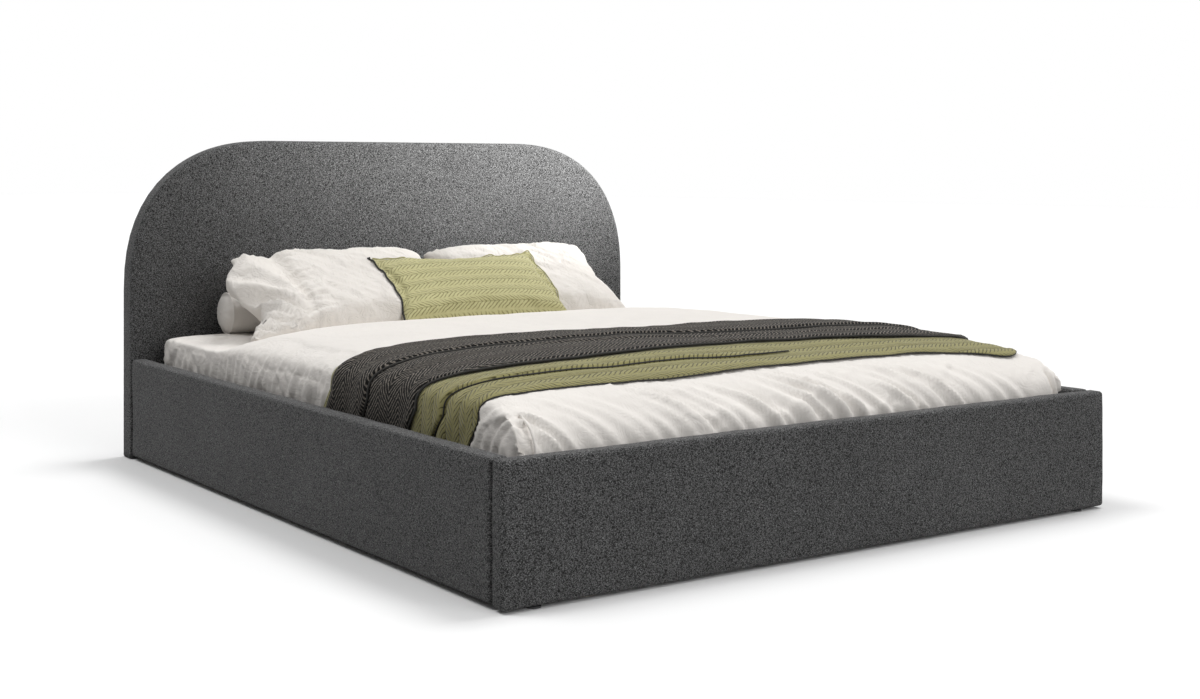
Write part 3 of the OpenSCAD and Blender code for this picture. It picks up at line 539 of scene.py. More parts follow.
def round_box(name, low, high, radius, step, seed, lumps=0.0012):
    """A padded box with rounded edges, slightly uneven as upholstery is."""
    lines = [edge_steps(l, h, radius, step) for l, h in zip(low, high)]
    verts, faces, start = [], [], 0
    for axis in range(3):
        a, b = [k for k in range(3) if k != axis]
        A, B = np.meshgrid(lines[a], lines[b], indexing="ij")
        for end, limit in enumerate((low, high)):
            p = np.empty(A.shape + (3,))
            p[..., a], p[..., b], p[..., axis] = A, B, limit[axis]
            f = grid_faces(*A.shape, start)
            verts.append(p.reshape(-1, 3))
            faces.append(f[:, ::-1] if (end == 1) == (axis == 1) else f)
            start += A.size
    p = np.concatenate(verts)
    inner = np.clip(p, np.array(low) + radius, np.array(high) - radius)
    out = p - inner
    out /= np.maximum(np.linalg.norm(out, axis=1), 1e-9)[:, None]
    p = inner + out * radius
    uneven = fbm(*(p * (7, 7, 9)).T, seed) * lumps + noise(*(p * 31).T, seed + 5) * lumps * 0.35
    p = p + out * (uneven - lumps * 1.2)[:, None]
    _, first, back = np.unique(np.round(p, 5), axis=0, return_index=True, return_inverse=True)
    return new_mesh(name, p[first], back.ravel()[np.concatenate(faces)])


for part, radius, seed in (("left_rail", 0.010, 3), ("right_rail", 0.010, 4), ("footboard", 0.011, 5)):
    cover = round_box(part + "_upholstery", *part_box(part + "_cover"), radius, 0.014, seed)
    stand_in(cover, part + "_cover", CHARCOAL, "base")


def board_outline(half, top, bottom):
    """Points round the headboard, from its foot over both shoulders and back under, with inward normals."""
    shoulder, power = 0.45, 2.35
    t = np.linspace(0, math.pi / 2, 60)
    arc = rows(half - shoulder + shoulder * np.cos(t) ** (2 / power),
               top - shoulder + shoulder * np.sin(t) ** (2 / power))
    side = rows(half, np.linspace(bottom, top - shoulder, 31)[:-1])
    over = rows(np.linspace(half - shoulder, 0, 31)[1:], top)
    right = np.concatenate([side, arc, over])
    under = rows(np.linspace(0, half, 41)[:-1], bottom)
    loop = np.concatenate([right, right[::-1][1:] * (-1, 1), (under * (-1, 1))[::-1][:-1], under])
    step = np.linalg.norm(np.roll(loop, -1, 0) - loop, axis=1)
    loop = loop[step > 1e-6]
    tangent = np.roll(loop, -1, 0) - np.roll(loop, 1, 0)
    tangent /= np.linalg.norm(tangent, axis=1)[:, None]
    return loop, rows(-tangent[:, 1], tangent[:, 0])


def headboard():
    """A padded board: big round shoulders, a rolled front edge, cloth turned over the back."""
    front_round, back_round, turned_over, hub_z = 0.014, 0.006, 0.022, 0.42
    low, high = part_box("headboard_cover")
    front, back = low.y, high.y
    loop, inward = board_outline(high.x, high.z, low.z)
    n = len(loop)
    rings = [(turned_over, back)]
    rings += [(back_round * (1 - math.sin(a)), back - back_round * (1 - math.cos(a)))
              for a in np.linspace(0, math.pi / 2, 4)]
    rings += [(0, y) for y in np.linspace(back - back_round, front + front_round, 5)[1:-1]]
    rings += [(front_round * (1 - math.cos(a)), front + front_round * (1 - math.sin(a)))
              for a in np.linspace(0, math.pi / 2, 8)]
    foot = loop[:, 1] < low.z + 0.001
    keep = np.where(foot, 0.1, 1.0)                        # the foot edge stays square over the foam
    x, z = loop.T
    verts = [rows(x + inward[:, 0] * inset, y, z - 0.0015 * foot + inward[:, 1] * inset * keep)
             for inset, y in rings]
    rim, centre = verts[-1], np.array([0, front, hub_z])
    for share in np.concatenate([np.linspace(0.985, 0.9, 5), np.linspace(0.87, 0.05, 26)]):
        verts.append(centre + (rim - centre) * share)
    k = len(verts)
    verts = np.concatenate(verts + [centre[None]])
    faces = grid_faces(k, n, wrap_m=True)[:, ::-1].tolist()
    faces += [[(k - 1) * n + i, k * n, (k - 1) * n + (i + 1) % n] for i in range(n)]
    x, z = verts[:, 0], verts[:, 2]
    lumps = fbm(x * 4, z * 4, 0.3, 11) * 0.0011 + noise(x * 26, z * 26, 0.1, 12) * 0.0003
    verts[:, 1] += np.where(verts[:, 1] < front + 0.004, lumps + 0.0012, 0)
    ob = new_mesh("headboard_upholstery", verts, faces)
    stand_in(ob, "headboard_cover", CHARCOAL, "base")


def back_staples():
    """Staples that hold the dust cloth to the back of the board, a row round its edge."""
    inset, pitch, half_crown, half_wire, sunk, proud = 0.016, 0.042, 0.0055, 0.0006, 0.0004, 0.0007
    box_faces = ((0, 1, 2, 3), (7, 6, 5, 4), (0, 4, 5, 1), (1, 5, 6, 2), (2, 6, 7, 3), (3, 7, 4, 0))
    low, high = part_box("headboard_back_panel")
    loop, inward = board_outline(high.x, high.z, low.z)
    loop = loop + inward * inset
    along = walked(*loop.T)
    verts, faces = [], []
    for at in np.arange(0.03, along[-1] - 0.02, pitch):
        here, ahead = (np.array([np.interp(s, along, side) for side in loop.T]) for s in (at, at + 0.002))
        d = (ahead - here) / np.linalg.norm(ahead - here)
        e = np.array([-d[1], d[0]])
        faces += [[len(verts) + i for i in f] for f in box_faces]
        for y in (high.y - sunk, high.y + proud):
            for a, b in ((-1, -1), (1, -1), (1, 1), (-1, 1)):
                x, z = here + d * a * half_crown + e * b * half_wire
                verts.append((x, y, z))
    dress(new_mesh("back_panel_staples", verts, faces), finish["zinc_steel"], "base")


def pull_strap():
    """Woven webbing, sewn flat at both ends and bowed out between them."""
    sewn, thick = 0.024, 0.0024
    low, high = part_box("pull_strap")
    x = np.linspace(low.x, high.x, 160)
    t = np.clip((x - (low.x + high.x) / 2) / ((high.x - low.x) / 2 - sewn), -1, 1)
    y = high.y - thick / 2 - (high.y - low.y - thick) * 0.5 * (1 + np.cos(math.pi * t))
    X, Z = np.meshgrid(x, np.linspace(low.z, high.z, 17), indexing="ij")
    across = (Z - low.z) / (high.z - low.z)
    selvedge = bell(across, 0.05, 0.05) + bell(across, 0.95, 0.05)
    ribs = 0.00016 * np.sin(across * 14 * math.pi) + 0.0003 * selvedge
    ob = new_mesh("pull_strap_webbing", rows(X, y[:, None] - ribs, Z), grid_faces(*X.shape), rows(X, Z))
    use(ob, "SOLIDIFY", thickness=thick - 0.0004, offset=0.0)
    stand_in(ob, "pull_strap", finish["webbing"], "platform")
    z0, z1, front = low.z + 0.004, high.z - 0.004, high.y - thick - 0.0002
    for side, x0 in (("left", low.x + 0.003), ("right", high.x - sewn + 0.003)):
        x1 = x0 + sewn - 0.006
        corners = [(x0, z0), (x1, z0), (x1, z1), (x0, z1), (x0, z0), (x1, z1)]
        path = [(a[0] + (b[0] - a[0]) * k / 12, front + 0.0002 * (k % 2), a[1] + (b[1] - a[1]) * k / 12)
                for a, b in zip(corners, corners[1:]) for k in range(12)]
        name = "pull_strap_" + side + "_stitches"
        tube(name, path, 0.0005, DARK_THREAD_AND_SHADOW, "platform", 6)


headboard()
back_staples()
pull_strap()


# ---- simulation
def simulate(ob, pressure, grow, cap, frames, stiff, bend, pins=None):
    """Cloth simulation of the mesh, applied to it; no vertex moves further than the cap."""
    before = coords(ob)
    mod = ob.modifiers.new("cloth", "CLOTH")
    s = mod.settings
    assign(s, quality=5, mass=0.3, tension_stiffness=stiff, compression_stiffness=stiff,
           shear_stiffness=stiff / 3, bending_stiffness=bend, shrink_min=-grow,
           use_pressure=True, uniform_pressure_force=pressure)
    s.effector_weights.gravity = 0
    mod.collision_settings.use_collision = False
    if pins is not None:
        group = ob.vertex_groups.new(name="pins")
        pins = np.round(pins, 1)
        for weight in np.unique(pins[pins > 0]):
            group.add(np.nonzero(pins == weight)[0].tolist(), float(weight), "REPLACE")
        s.vertex_group_mass = "pins"
    mod.point_cache.frame_start, mod.point_cache.frame_end = 1, frames
    for f in range(1, frames + 1):
        scene.frame_set(f)
    held = ob.evaluated_get(bpy.context.evaluated_depsgraph_get())
    after = read(held.to_mesh().vertices, "co", 3)
    held.to_mesh_clear()
    ob.modifiers.remove(mod)
    ob.vertex_groups.clear()
    scene.frame_set(1)
    move = after - before
    far = np.maximum(np.linalg.norm(move, axis=1), 1e-9)
    set_coords(ob, before + move * (cap * np.tanh(far / cap) / far)[:, None])


# ---- mattress and duvet
MATTRESS_LO, MATTRESS_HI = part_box("mattress")
DUVET_LO, DUVET_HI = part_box("duvet")
HALF, CREST, HEM = DUVET_HI.x, DUVET_HI.z, DUVET_LO.z
FOOT, HEAD = DUVET_LO.y, DUVET_HI.y
SHOULDER = MATTRESS_HI.z - 0.02
BASE = HEM + 0.020                                     # where the round foot end turns upright
LOFT = CREST - BASE
THIN = (MATTRESS_HI.z + 0.010 - BASE) / LOFT           # height of the single layer under the pillows
EDGE = (SHOULDER - BASE) / LOFT                        # height of the long sides' upright part
RISE_HEAD, RISE_FOOT = 0.56, 0.34                      # where the duvet's fold rises to full height
FOOT_ROUND, FOOT_POWER = 0.40, 2.3
CROWN_POWER = 3.7
HEAD_ROUND, HEAD_DROP = 0.035, 0.020                   # the single layer's round edge at the head


def across(x):
    """Share of the full height by the place across the bed."""
    round_part = np.clip(1 - np.clip(np.abs(x) / HALF, 0, 1) ** CROWN_POWER, 1e-9, 1) ** (1 / CROWN_POWER)
    return EDGE + (1 - EDGE) * round_part


def along(y):
    """Share of the full height by the place along the bed."""
    y = np.asarray(y, float)
    rise = THIN + (1 - THIN) * smooth(RISE_HEAD, RISE_FOOT, y)
    turn = np.clip((y - (HEAD - HEAD_ROUND)) / HEAD_ROUND, 0, 1)
    rise = rise - HEAD_DROP / LOFT * (1 - np.sqrt(1 - turn ** 2))
    back = np.clip((FOOT + FOOT_ROUND - y) / FOOT_ROUND, 0, 1)
    fall = np.clip(1 - back ** FOOT_POWER, 1e-6, 1) ** (1 / FOOT_POWER)
    return np.where(y > 0, rise, fall)


def bed_top(x, y):
    """Height of the bedding's smooth outer surface."""
    return BASE + LOFT * (across(x) ** -8 + along(y) ** -8 - 1) ** (-1 / 8)


def mattress():
    """A mattress in a white fitted sheet: soft edges, the sheet pulled in under its lower edge."""
    low = [MATTRESS_LO.x + 0.001, MATTRESS_LO.y + 0.001, MATTRESS_LO.z + 0.0005]
    high = [MATTRESS_HI.x - 0.001, MATTRESS_HI.y - 0.001, MATTRESS_HI.z - 0.001]
    ob = round_box("mattress_fitted_sheet", low, high, 0.02, 0.02, 21, 0.0008)
    p = coords(ob)
    x, y, z = p.T
    head_round, under_duvet = 0.04, 0.032
    over = np.maximum(y - (high[1] - head_round), 0) / head_round
    drop = head_round * (1 - np.sqrt(np.clip(1 - over ** 2, 0, 1)))
    z -= np.where(z > high[2] - head_round, drop * smooth(high[2] - head_round, high[2], z), 0)
    under = bed_top(np.clip(x, -HALF, HALF), np.clip(y, FOOT, 0)) - under_duvet
    z[:] = np.where(y < 0, np.minimum(z, np.maximum(under, low[2] + 0.02)), z)
    pleat = ridged(x * 21, y * 21, 31) * smooth(low[2] + 0.11, low[2] + 0.02, z)
    set_coords(ob, p)
    push(ob, -0.002 * pleat * (z > low[2] + 0.004))
    stand_in(ob, "mattress", WHITE, "platform")
    inset, corner, cord = 0.0035, 0.03, 0.0022
    path = []
    for k, (sx, y) in enumerate(((1, high[1]), (-1, high[1]), (-1, low[1]), (1, low[1]))):
        cy = y - inset - corner if y > 0 else y + inset + corner
        for a in np.radians(np.linspace(90 * k, 90 * k + 90, 8)):
            path.append((sx * (high[0] - inset - corner) + (corner + 0.002) * math.cos(a),
                         cy + (corner + 0.002) * math.sin(a), MATTRESS_LO.z + 0.018))
    tube("mattress_lower_piping", path, cord, KNIT, "platform", closed=True)


def rounded_corner(x, y, r=0.024):
    """Draws the two foot corners of the plan in to a round."""
    cx, cy = HALF - r, FOOT + r
    near = (np.abs(x) > cx) & (y < cy)
    a, b = (np.abs(x) - cx) / r, (cy - y) / r
    new_x = np.sign(x) * (cx + r * a * np.sqrt(np.clip(1 - b * b / 2, 0, 1)))
    new_y = cy - r * b * np.sqrt(np.clip(1 - a * a / 2, 0, 1))
    return np.where(near, new_x, x), np.where(near, new_y, y)


def seeded_folds(seed, start, stop, count, high):
    """Place at the rim, half width, height and length of each fold."""
    rng = np.random.default_rng(seed)
    aside, wide, share, length = (rng.uniform(low, top, count) for low, top in
                                  ((-0.4, 0.4), (0.009, 0.016), (0.45, 1.0), (0.09, 0.26)))
    at = np.linspace(start, stop, count) + aside * (stop - start) / count
    return [(a, w, high(a) * h, n) for a, w, h, n in zip(at, wide, share, length)]


# the folds stand highest near the middle; small tucks crowd by the near corner
FOOT_FOLDS = seeded_folds(48, -0.76, 0.66, 30, lambda a: 0.0112 * (0.45 + 0.55 * bell(a, 0.02, 0.36)))
FOOT_FOLDS += seeded_folds(49, -0.30, 0.45, 9, lambda a: 0.0134)
FOOT_FOLDS += [(at, 0.0075, 0.0058, reach) for at, reach in
               ((-0.775, 0.10), (-0.752, 0.14), (-0.730, 0.12), (-0.704, 0.17), (-0.672, 0.14))]
CORNER_FOLDS = seeded_folds(50, 0.035, 0.19, 9, lambda a: 0.0075)


def fold_set(folds, bend, reach):
    """Folds that lie along lines of equal bend, each with a trough beside it, and fade with the reach."""
    total = 0
    for at, wide, high, length in folds:
        shape = bell(bend, at, wide) - 0.75 * bell(bend, at + 1.9 * wide, 1.3 * wide)
        total = total + high * shape * smooth(length, 0.55 * length, reach)
    return total


def bedding_folds(x, y, z):
    """How far the cloth stands out from the smooth surface."""
    from_side, from_foot = HALF - np.abs(x), y - FOOT
    d = 0.0016 * fbm(x * 4.2, y * 4.2, 0, 41) + 0.0008 * fbm(x * 13, y * 13, 0, 42)
    # upright drapes on the long sides, leaning a little
    side = smooth(0.15, 0.02, from_side) * smooth(0.14, 0.28, from_foot)
    crest = BASE + LOFT * np.clip(along(y), 0, 1)
    low = smooth(crest - 0.004, crest - 0.085, z)
    wander = y + 0.012 * noise(y * 9, z * 14, 0, 43) + 0.35 * (z - HEM)
    drapes = 0.5 * ridged(wander * 54, 0.0, 44) ** 1.5 + 0.5 * ridged(wander * 96 + 7, z * 5, 45) ** 1.5
    strong = 0.7 + 0.3 * smooth(-0.4, 0.5, noise(y * 2.3, np.sign(x) * 3, 0, 46))
    d = d + side * strong * (0.0022 + 0.0150 * low) * (drapes - 0.36)
    # folds that leave the throw sideways and turn down to the footboard
    rise = np.maximum(z - BASE, 0)
    reach = np.hypot(from_foot, rise)
    bend = x + 0.17 * (np.minimum(reach, 0.4) / 0.16) ** 1.5 + 0.006 * noise(x * 7, reach * 6, 0, 47)
    fade = smooth(0.004, 0.04, from_side) * (0.55 + 0.45 * smooth(0.20, 0.07, reach))
    d = d + fade * fold_set(FOOT_FOLDS, bend, reach)
    # the same folds turned round the foot corners, onto the long sides; the far ones are shallow
    reach = np.hypot(from_side, rise)
    bend = from_foot + 0.11 * (np.minimum(reach, 0.3) / 0.12) ** 1.5
    fade = smooth(0.004, 0.03, from_foot) * np.where(x > 0, 0.3, 1.0)
    d = d + fade * fold_set(CORNER_FOLDS, bend, reach)
    # at the near foot corner the cloth is drawn to its seam; the far one has a slit
    d = d - 0.0030 * bell(np.abs(from_side - from_foot), 0.0, 0.012) * smooth(0.352, 0.335, z) * (x < 0)
    beside = bell(x, -HALF + 0.022, 0.010) + bell(x, -HALF + 0.050, 0.010)
    d = d - 0.0040 * beside * smooth(0.06, 0.03, from_foot) * smooth(0.362, 0.345, z)
    slit = bell(x, HALF - 0.026, 0.0060) * smooth(0.05, 0.02, from_foot) * smooth(0.368, 0.350, z)
    return d - 0.018 * slit


def duvet():
    """The quilt: a crowned top on a grid, and an upright hem of rings under its rim, open at the head."""
    cell, foot_cell, hem_rings = 0.0080, 0.0075, 7
    xs = crown_steps(HALF, 1.1 * LOFT, CROWN_POWER, cell)
    xs = np.concatenate([-xs[:0:-1], xs])
    start = FOOT + FOOT_ROUND
    ys = np.concatenate([np.linspace(HEAD, start, int((HEAD - start) / cell))[:-1],
                         start - crown_steps(FOOT_ROUND, LOFT, FOOT_POWER, foot_cell)])
    n, m = len(xs), len(ys)
    X, Y = np.meshgrid(xs, ys, indexing="ij")
    top = rows(*rounded_corner(X, Y), bed_top(X, Y))
    index = np.arange(n * m).reshape(n, m)
    above = rim = np.concatenate([index[0, :], index[1:, -1], index[-1, -2::-1]])
    verts, faces = [top], [grid_faces(n, m)[:, ::-1]]
    for k in range(1, hem_rings + 1):
        ring = top[rim].copy()
        ring[:, 2] = ring[:, 2] + (HEM - ring[:, 2]) * k / hem_rings
        below = n * m + (k - 1) * len(rim) + np.arange(len(rim))
        verts.append(ring)
        faces.append(np.stack([above[:-1], below[:-1], below[1:], above[1:]], -1))
        above = below
    verts = np.concatenate(verts)
    ob = new_mesh("duvet_quilt", verts, np.concatenate(faces))
    face_up(ob, index[n // 2, m // 2])
    _, y, z = coords(ob).T
    covered = smooth(-0.10, -0.25, y) * smooth(FOOT + 0.02, FOOT + 0.10, y)
    pins = np.clip(0.9 * smooth(HEM + 0.02, HEM, z) + 0.9 * (y > HEAD - 0.01) + 0.25 * covered, 0, 1)
    simulate(ob, 0.6, grow=0.045, cap=0.0035, frames=14, stiff=12, bend=0.5, pins=pins)
    push(ob, bedding_folds(*verts.T))
    p = coords(ob)
    p[:, 0] = np.clip(p[:, 0], -HALF - 0.007, HALF + 0.007)
    p[:, 1] = np.clip(p[:, 1], FOOT - 0.008, HEAD + 0.004)
    set_coords(ob, p)
    return ob


def corner_seam():
    """The seam that stands up beside the near foot corner of the quilt."""
    x, top, drop = -HALF + 0.036, 0.357, 0.085
    path = []
    for t in np.linspace(0, 1, 16):
        z = top - drop * t
        near, far = FOOT, FOOT + 0.3
        for _ in range(24):
            y = (near + far) / 2
            near, far = (y, far) if bed_top(x, y) < z else (near, y)
        path.append((x - 0.002 * t, y - 0.0060 * smooth(0.0, 0.25, t) + 0.008 * smooth(0.25, 0.0, t), z))
    tube("duvet_corner_seam", path, 0.0030, WHITE, "platform")


mattress()
quilt_cover = duvet()
corner_seam()


# ---- throws
THROW_HEM = 0.262                                      # height that both throws hang down to
FOLD_ROW = 34                                          # the first row past a throw's pressed fold
ROWS_PAST_FOLD = 29                                    # rows from that one to the foot

# Each line gives Y at places across the bed, measured round its sides, by a few chosen points.
OLIVE_HEAD = ((-0.90, -0.115), (-0.86, -0.125), (-0.824, -0.148), (-0.805, -0.178), (-0.79, -0.216),
              (-0.74, -0.21), (-0.5, -0.21), (0, -0.29), (0.9, -0.29))
OLIVE_FOLD = ((-0.90, -0.655), (-0.86, -0.664), (-0.827, -0.675), (-0.806, -0.707), (-0.796, -0.742),
              (-0.766, -0.762), (-0.691, -0.787), (-0.39, -0.795), (-0.274, -0.788), (-0.087, -0.806),
              (0.9, -0.80))
OLIVE_FOOT = ((-0.90, -0.80), (-0.858, -0.814), (-0.815, -0.832), (-0.804, -0.866), (-0.77, -0.880),
              (-0.6, -0.880), (-0.31, -0.893), (-0.07, -0.875), (0.444, -0.873), (0.60, -0.895),
              (0.70, -0.935), (0.75, -0.94), (0.82, -0.80), (0.9, -0.76))
DARK_HEAD = ((-0.90, -0.155), (-0.857, -0.163), (-0.81, -0.202), (-0.795, -0.24), (-0.745, -0.228),
             (-0.668, -0.178), (-0.58, -0.165), (-0.458, -0.232), (-0.13, -0.252), (0.03, -0.295),
             (0.32, -0.265), (0.9, -0.26))
DARK_FOLD = ((-0.90, -0.34), (-0.853, -0.359), (-0.806, -0.384), (-0.773, -0.415), (-0.672, -0.405),
             (-0.567, -0.42), (-0.259, -0.445), (-0.098, -0.47), (0.048, -0.525), (0.224, -0.548),
             (0.9, -0.56))
DARK_FOOT = ((-0.90, -0.55), (-0.86, -0.562), (-0.815, -0.575), (-0.802, -0.612), (-0.769, -0.645),
             (-0.728, -0.68), (-0.601, -0.72), (-0.467, -0.728), (-0.094, -0.705), (0.234, -0.72),
             (0.442, -0.757), (0.66, -0.775), (0.73, -0.77), (0.82, -0.66), (0.9, -0.63))


def through(points, places):
    """Y at each place, on a soft line through the points."""
    xs, ys = zip(*points)
    fine = np.linspace(xs[0], xs[-1], 240)
    kernel = np.hanning(31)
    soft = np.convolve(np.pad(np.interp(fine, xs, ys), 15, "edge"), kernel / kernel.sum(), "valid")
    return np.interp(places, fine, soft)[:, None]


def cross_path(step=0.010):
    """(x, drop) along the bed's cross-section, hem to hem, at even steps; drop is below the shoulder."""
    xs = crown_steps(HALF, 1.1 * LOFT, CROWN_POWER, step)
    hang = SHOULDER - THROW_HEM
    down = np.linspace(0, hang, max(2, int(hang / step)))[1:]
    x = np.concatenate([xs, np.full(len(down), HALF)])
    drop = np.concatenate([np.zeros(len(xs)), down])
    return np.concatenate([-x[:0:-1], x]), np.concatenate([drop[:0:-1], drop])


def tree_of(ob):
    """The mesh's triangles, for finding where a ray meets them."""
    ob.data.calc_loop_triangles()
    triangles = read(ob.data.loop_triangles, "vertices", 3, np.int32)
    return BVHTree.FromPolygons(coords(ob).tolist(), triangles.tolist())


def lay_sheet(name, lines, thick, lift, relief, under):
    """A sheet laid over a piece, between its head and foot lines; rows crowd at its pressed fold."""
    x, drop = cross_path()
    s = walked(x, bed_top(x, x * 0 - 0.4) - drop)
    s -= s[-1] / 2
    head, fold, foot = (through(points, x + np.sign(x) * drop) for points in lines)
    before = 1 - np.linspace(1, 0, FOLD_ROW) ** 1.5
    after = np.linspace(0, 1, ROWS_PAST_FOLD + 1)[1:] ** 1.4
    Y = np.concatenate([head + (fold - head) * before, fold + (foot - fold) * after], 1)
    Y = np.maximum(Y, FOOT + 0.0015)
    n, m = Y.shape
    S, X, D = (np.repeat(a[:, None], m, 1) for a in (s, x, drop))
    base = np.stack([*rounded_corner(X, Y), bed_top(X, Y) - D], -1)
    out = np.cross(np.gradient(base, axis=1), np.gradient(base, axis=0))
    out /= np.maximum(np.linalg.norm(out, axis=-1), 1e-9)[..., None]
    if out[n // 2, m // 2][2] < 0:
        out = -out
    tree, above, reach = tree_of(under), 0.05, 0.09
    stand = np.zeros(Y.shape)
    for at in np.ndindex(Y.shape):
        o = Vector(out[at])
        hit = tree.ray_cast(Vector(base[at]) + o * above, -o, reach)
        stand[at] = above - hit[3] if hit[0] is not None else 0.0
    even = np.maximum(blur(stand, 5), stand - 0.0012) + 0.0008
    rest = lift * smooth(0.0, 0.018, np.minimum(head - Y, Y - foot)) + 0.0006
    p = base + out * (blur(even, 2) + rest + relief(S, X, Y, head - Y, Y - fold, Y - foot))[..., None]
    ob = new_mesh(name, p.reshape(-1, 3), grid_faces(n, m), rows(S, Y))
    face_up(ob, (n // 2) * m + m // 2)
    use(ob, "SOLIDIFY", thickness=thick, offset=1.0, use_quality_normals=True)
    return ob, p, out, (s[-1] - s[0], abs((foot - head).mean()))


def overlap(D, high, deep, reach):
    """A fold of cloth lying over the next: D is the distance toward the head from its edge."""
    top = high * np.exp(-np.maximum(D, 0) / reach) * smooth(-0.0015, 0.0035, D)
    return top - deep * bell(D, -0.0035, 0.0055)


def olive_relief(S, X, Y, _, from_fold, from_foot):
    """How far the olive throw stands out: its overlap, its creases along the fold and its rolled foot hem."""
    d = 0.0013 * fbm(S * 9, Y * 14, 0, 61)
    d = d + overlap(from_fold, 0.0075, 0.0050, 0.045) * smooth(0.10, -0.20, X)
    d = d + 0.0035 * (ridged(from_fold * 17, S * 1.3, 64) - 0.35)
    return d + 0.0035 * bell(from_foot, 0.014, 0.016) * (0.6 + 0.4 * noise(S * 11, 0, 0, 65))


def dark_relief(S, X, Y, from_head, from_fold, from_foot):
    """The same for the dark throw, with a second overlap by its fold and both hems rolled."""
    d = 0.0014 * fbm(S * 8, Y * 9, 0, 71)
    d = d + overlap(from_fold, 0.0080, 0.0060, 0.06)
    second = from_fold + 0.055 + 0.030 * smooth(-0.7, 0.3, X) + 0.006 * noise(S * 4, 0, 0, 72)
    d = d + 0.6 * overlap(second, 0.0060, 0.0050, 0.03) * smooth(-0.60, -0.30, X)
    d = d + 0.0030 * (ridged(from_fold * 14, S * 1.2, 74) - 0.35)
    return d + 0.0035 * bell(from_foot, 0.012, 0.014) + 0.0030 * bell(from_head, 0.012, 0.014)


def throw(name, node, material, lines, thick, lift, relief, under, cords):
    """A throw over the last piece under it. Its dark cords are painted shadow lines along its hems and its
    pressed fold; each says its name, the row it follows, its radius, how many thicknesses it stands out by,
    and how much of the row it covers."""
    ob, p, out, flat = lay_sheet(name, lines, thick, lift, relief, under[-1])
    stand_in(ob, node, material, "platform")
    for cord, row, radius, proud, share in cords:
        path = (p + out * (thick * proud))[:int(share * len(p)), row]
        tube(cord, path, radius, DARK_THREAD_AND_SHADOW, "platform", 7)
    return ob


# each throw's dark cords are painted shadow lines under its hems and along its fold
olive = throw("olive_quilted_throw", "olive_throw", OLIVE,
              (OLIVE_HEAD, OLIVE_FOLD, OLIVE_FOOT), 0.0032, 0.0016, olive_relief, [quilt_cover],
              (("olive_throw_hem_shadow", -1, 0.0020, 0.3, 1.0), ("olive_throw_fold_shadow", FOLD_ROW, 0.0020, 2.1, 0.54)))
throw("dark_herringbone_throw", "dark_throw", TWILL, (DARK_HEAD, DARK_FOLD, DARK_FOOT),
      0.0042, 0.0022, dark_relief, [quilt_cover, olive],
      (("dark_throw_head_hem_shadow", 0, 0.0028, 0.5, 1.0), ("dark_throw_fold_shadow", FOLD_ROW, 0.0030, 2.3, 1.0),
       ("dark_throw_foot_hem_shadow", -1, 0.0030, 0.5, 1.0)))
use(quilt_cover, "SOLIDIFY", thickness=0.008, offset=-1.0)
stand_in(quilt_cover, "duvet", WHITE, "platform")


# ---- pillows
BOLSTER_LO, BOLSTER_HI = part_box("bolster")
BOLSTER_Y, BOLSTER_Z = (BOLSTER_LO.y + BOLSTER_HI.y) / 2, (BOLSTER_LO.z + BOLSTER_HI.z) / 2
BOLSTER_R = (BOLSTER_HI.z - BOLSTER_LO.z) / 2
BOARD_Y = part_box("headboard_cover")[0].y
PILLOW_TILT, CUSHION_TILT = 28, 34                     # degrees up from lying flat


def stuffed(name, half_w, half_l, front_t, back_t, cell, pinch, fullness):
    """A stuffed case at the origin: X across, Y along, Z out of its front. Two grids share their rim."""
    def lines(half):
        t = np.linspace(-1, 1, max(8, int(2 * half / cell)))
        return 0.25 * np.sin(t * math.pi / 2) + 0.75 * t

    A, B = np.meshgrid(lines(half_w), lines(half_l), indexing="ij")
    x = half_w * A * (1 - pinch * (1 - B * B))
    y = half_l * B * (1 - pinch * 1.2 * (1 - A * A))
    crown = (np.clip(1 - np.abs(A) ** fullness, 0, 1) * np.clip(1 - np.abs(B) ** fullness, 0, 1)) ** 0.48
    index = np.arange(A.size).reshape(A.shape)
    inner = np.zeros(A.shape, bool)
    inner[1:-1, 1:-1] = True
    behind = index.copy()
    behind[inner] = A.size + np.arange(inner.sum())
    verts = np.concatenate([rows(x, y, front_t * crown), rows(x, y, -back_t * crown)[inner.ravel()]])
    quads = grid_faces(*A.shape)
    faces = np.concatenate([quads, behind.ravel()[quads][:, ::-1]])
    uv = np.concatenate([rows(A, B), rows(A[inner], B[inner])])
    edge = np.concatenate([index[:, 0], index[-1, 1:], index[-2::-1, -1], index[0, -2:0:-1]])
    return new_mesh(name, verts, faces, uv), edge, uv


def tilted(p, tilt, at):
    """From a cushion's own frame to the bed: its length leans back by the tilt."""
    c, s = math.cos(math.radians(tilt)), math.sin(math.radians(tilt))
    x, y, z = p.T
    return rows(x + at[0], y * c - z * s + at[1], y * s + z * c + at[2])


def bedding_clear(p, gap=0.002):
    """Lifts points that would lie in the duvet or mattress."""
    x, y, z = p.T
    inside = (np.abs(x) < HALF) & (y < HEAD)
    top = np.where(inside, bed_top(np.clip(x, -HALF + 1e-4, HALF - 1e-4), y), MATTRESS_HI.z)
    return rows(x, y, np.maximum(z, top + gap))


def rested(p, gap=0.0015):
    """Moves points out of the bolster, the headboard and the bedding."""
    x, y, z = p.T
    dy, dz = y - BOLSTER_Y, z - BOLSTER_Z
    r = np.maximum(np.hypot(dy, dz), 1e-6)
    need = BOLSTER_R + gap
    hit = (r < need) & (np.abs(x) < BOLSTER_HI.x + gap)
    y = np.where(hit, BOLSTER_Y + dy / r * need, y)
    z = np.where(hit, BOLSTER_Z + dz / r * need, z)
    return bedding_clear(rows(x, np.minimum(y, BOARD_Y - 0.002), z))


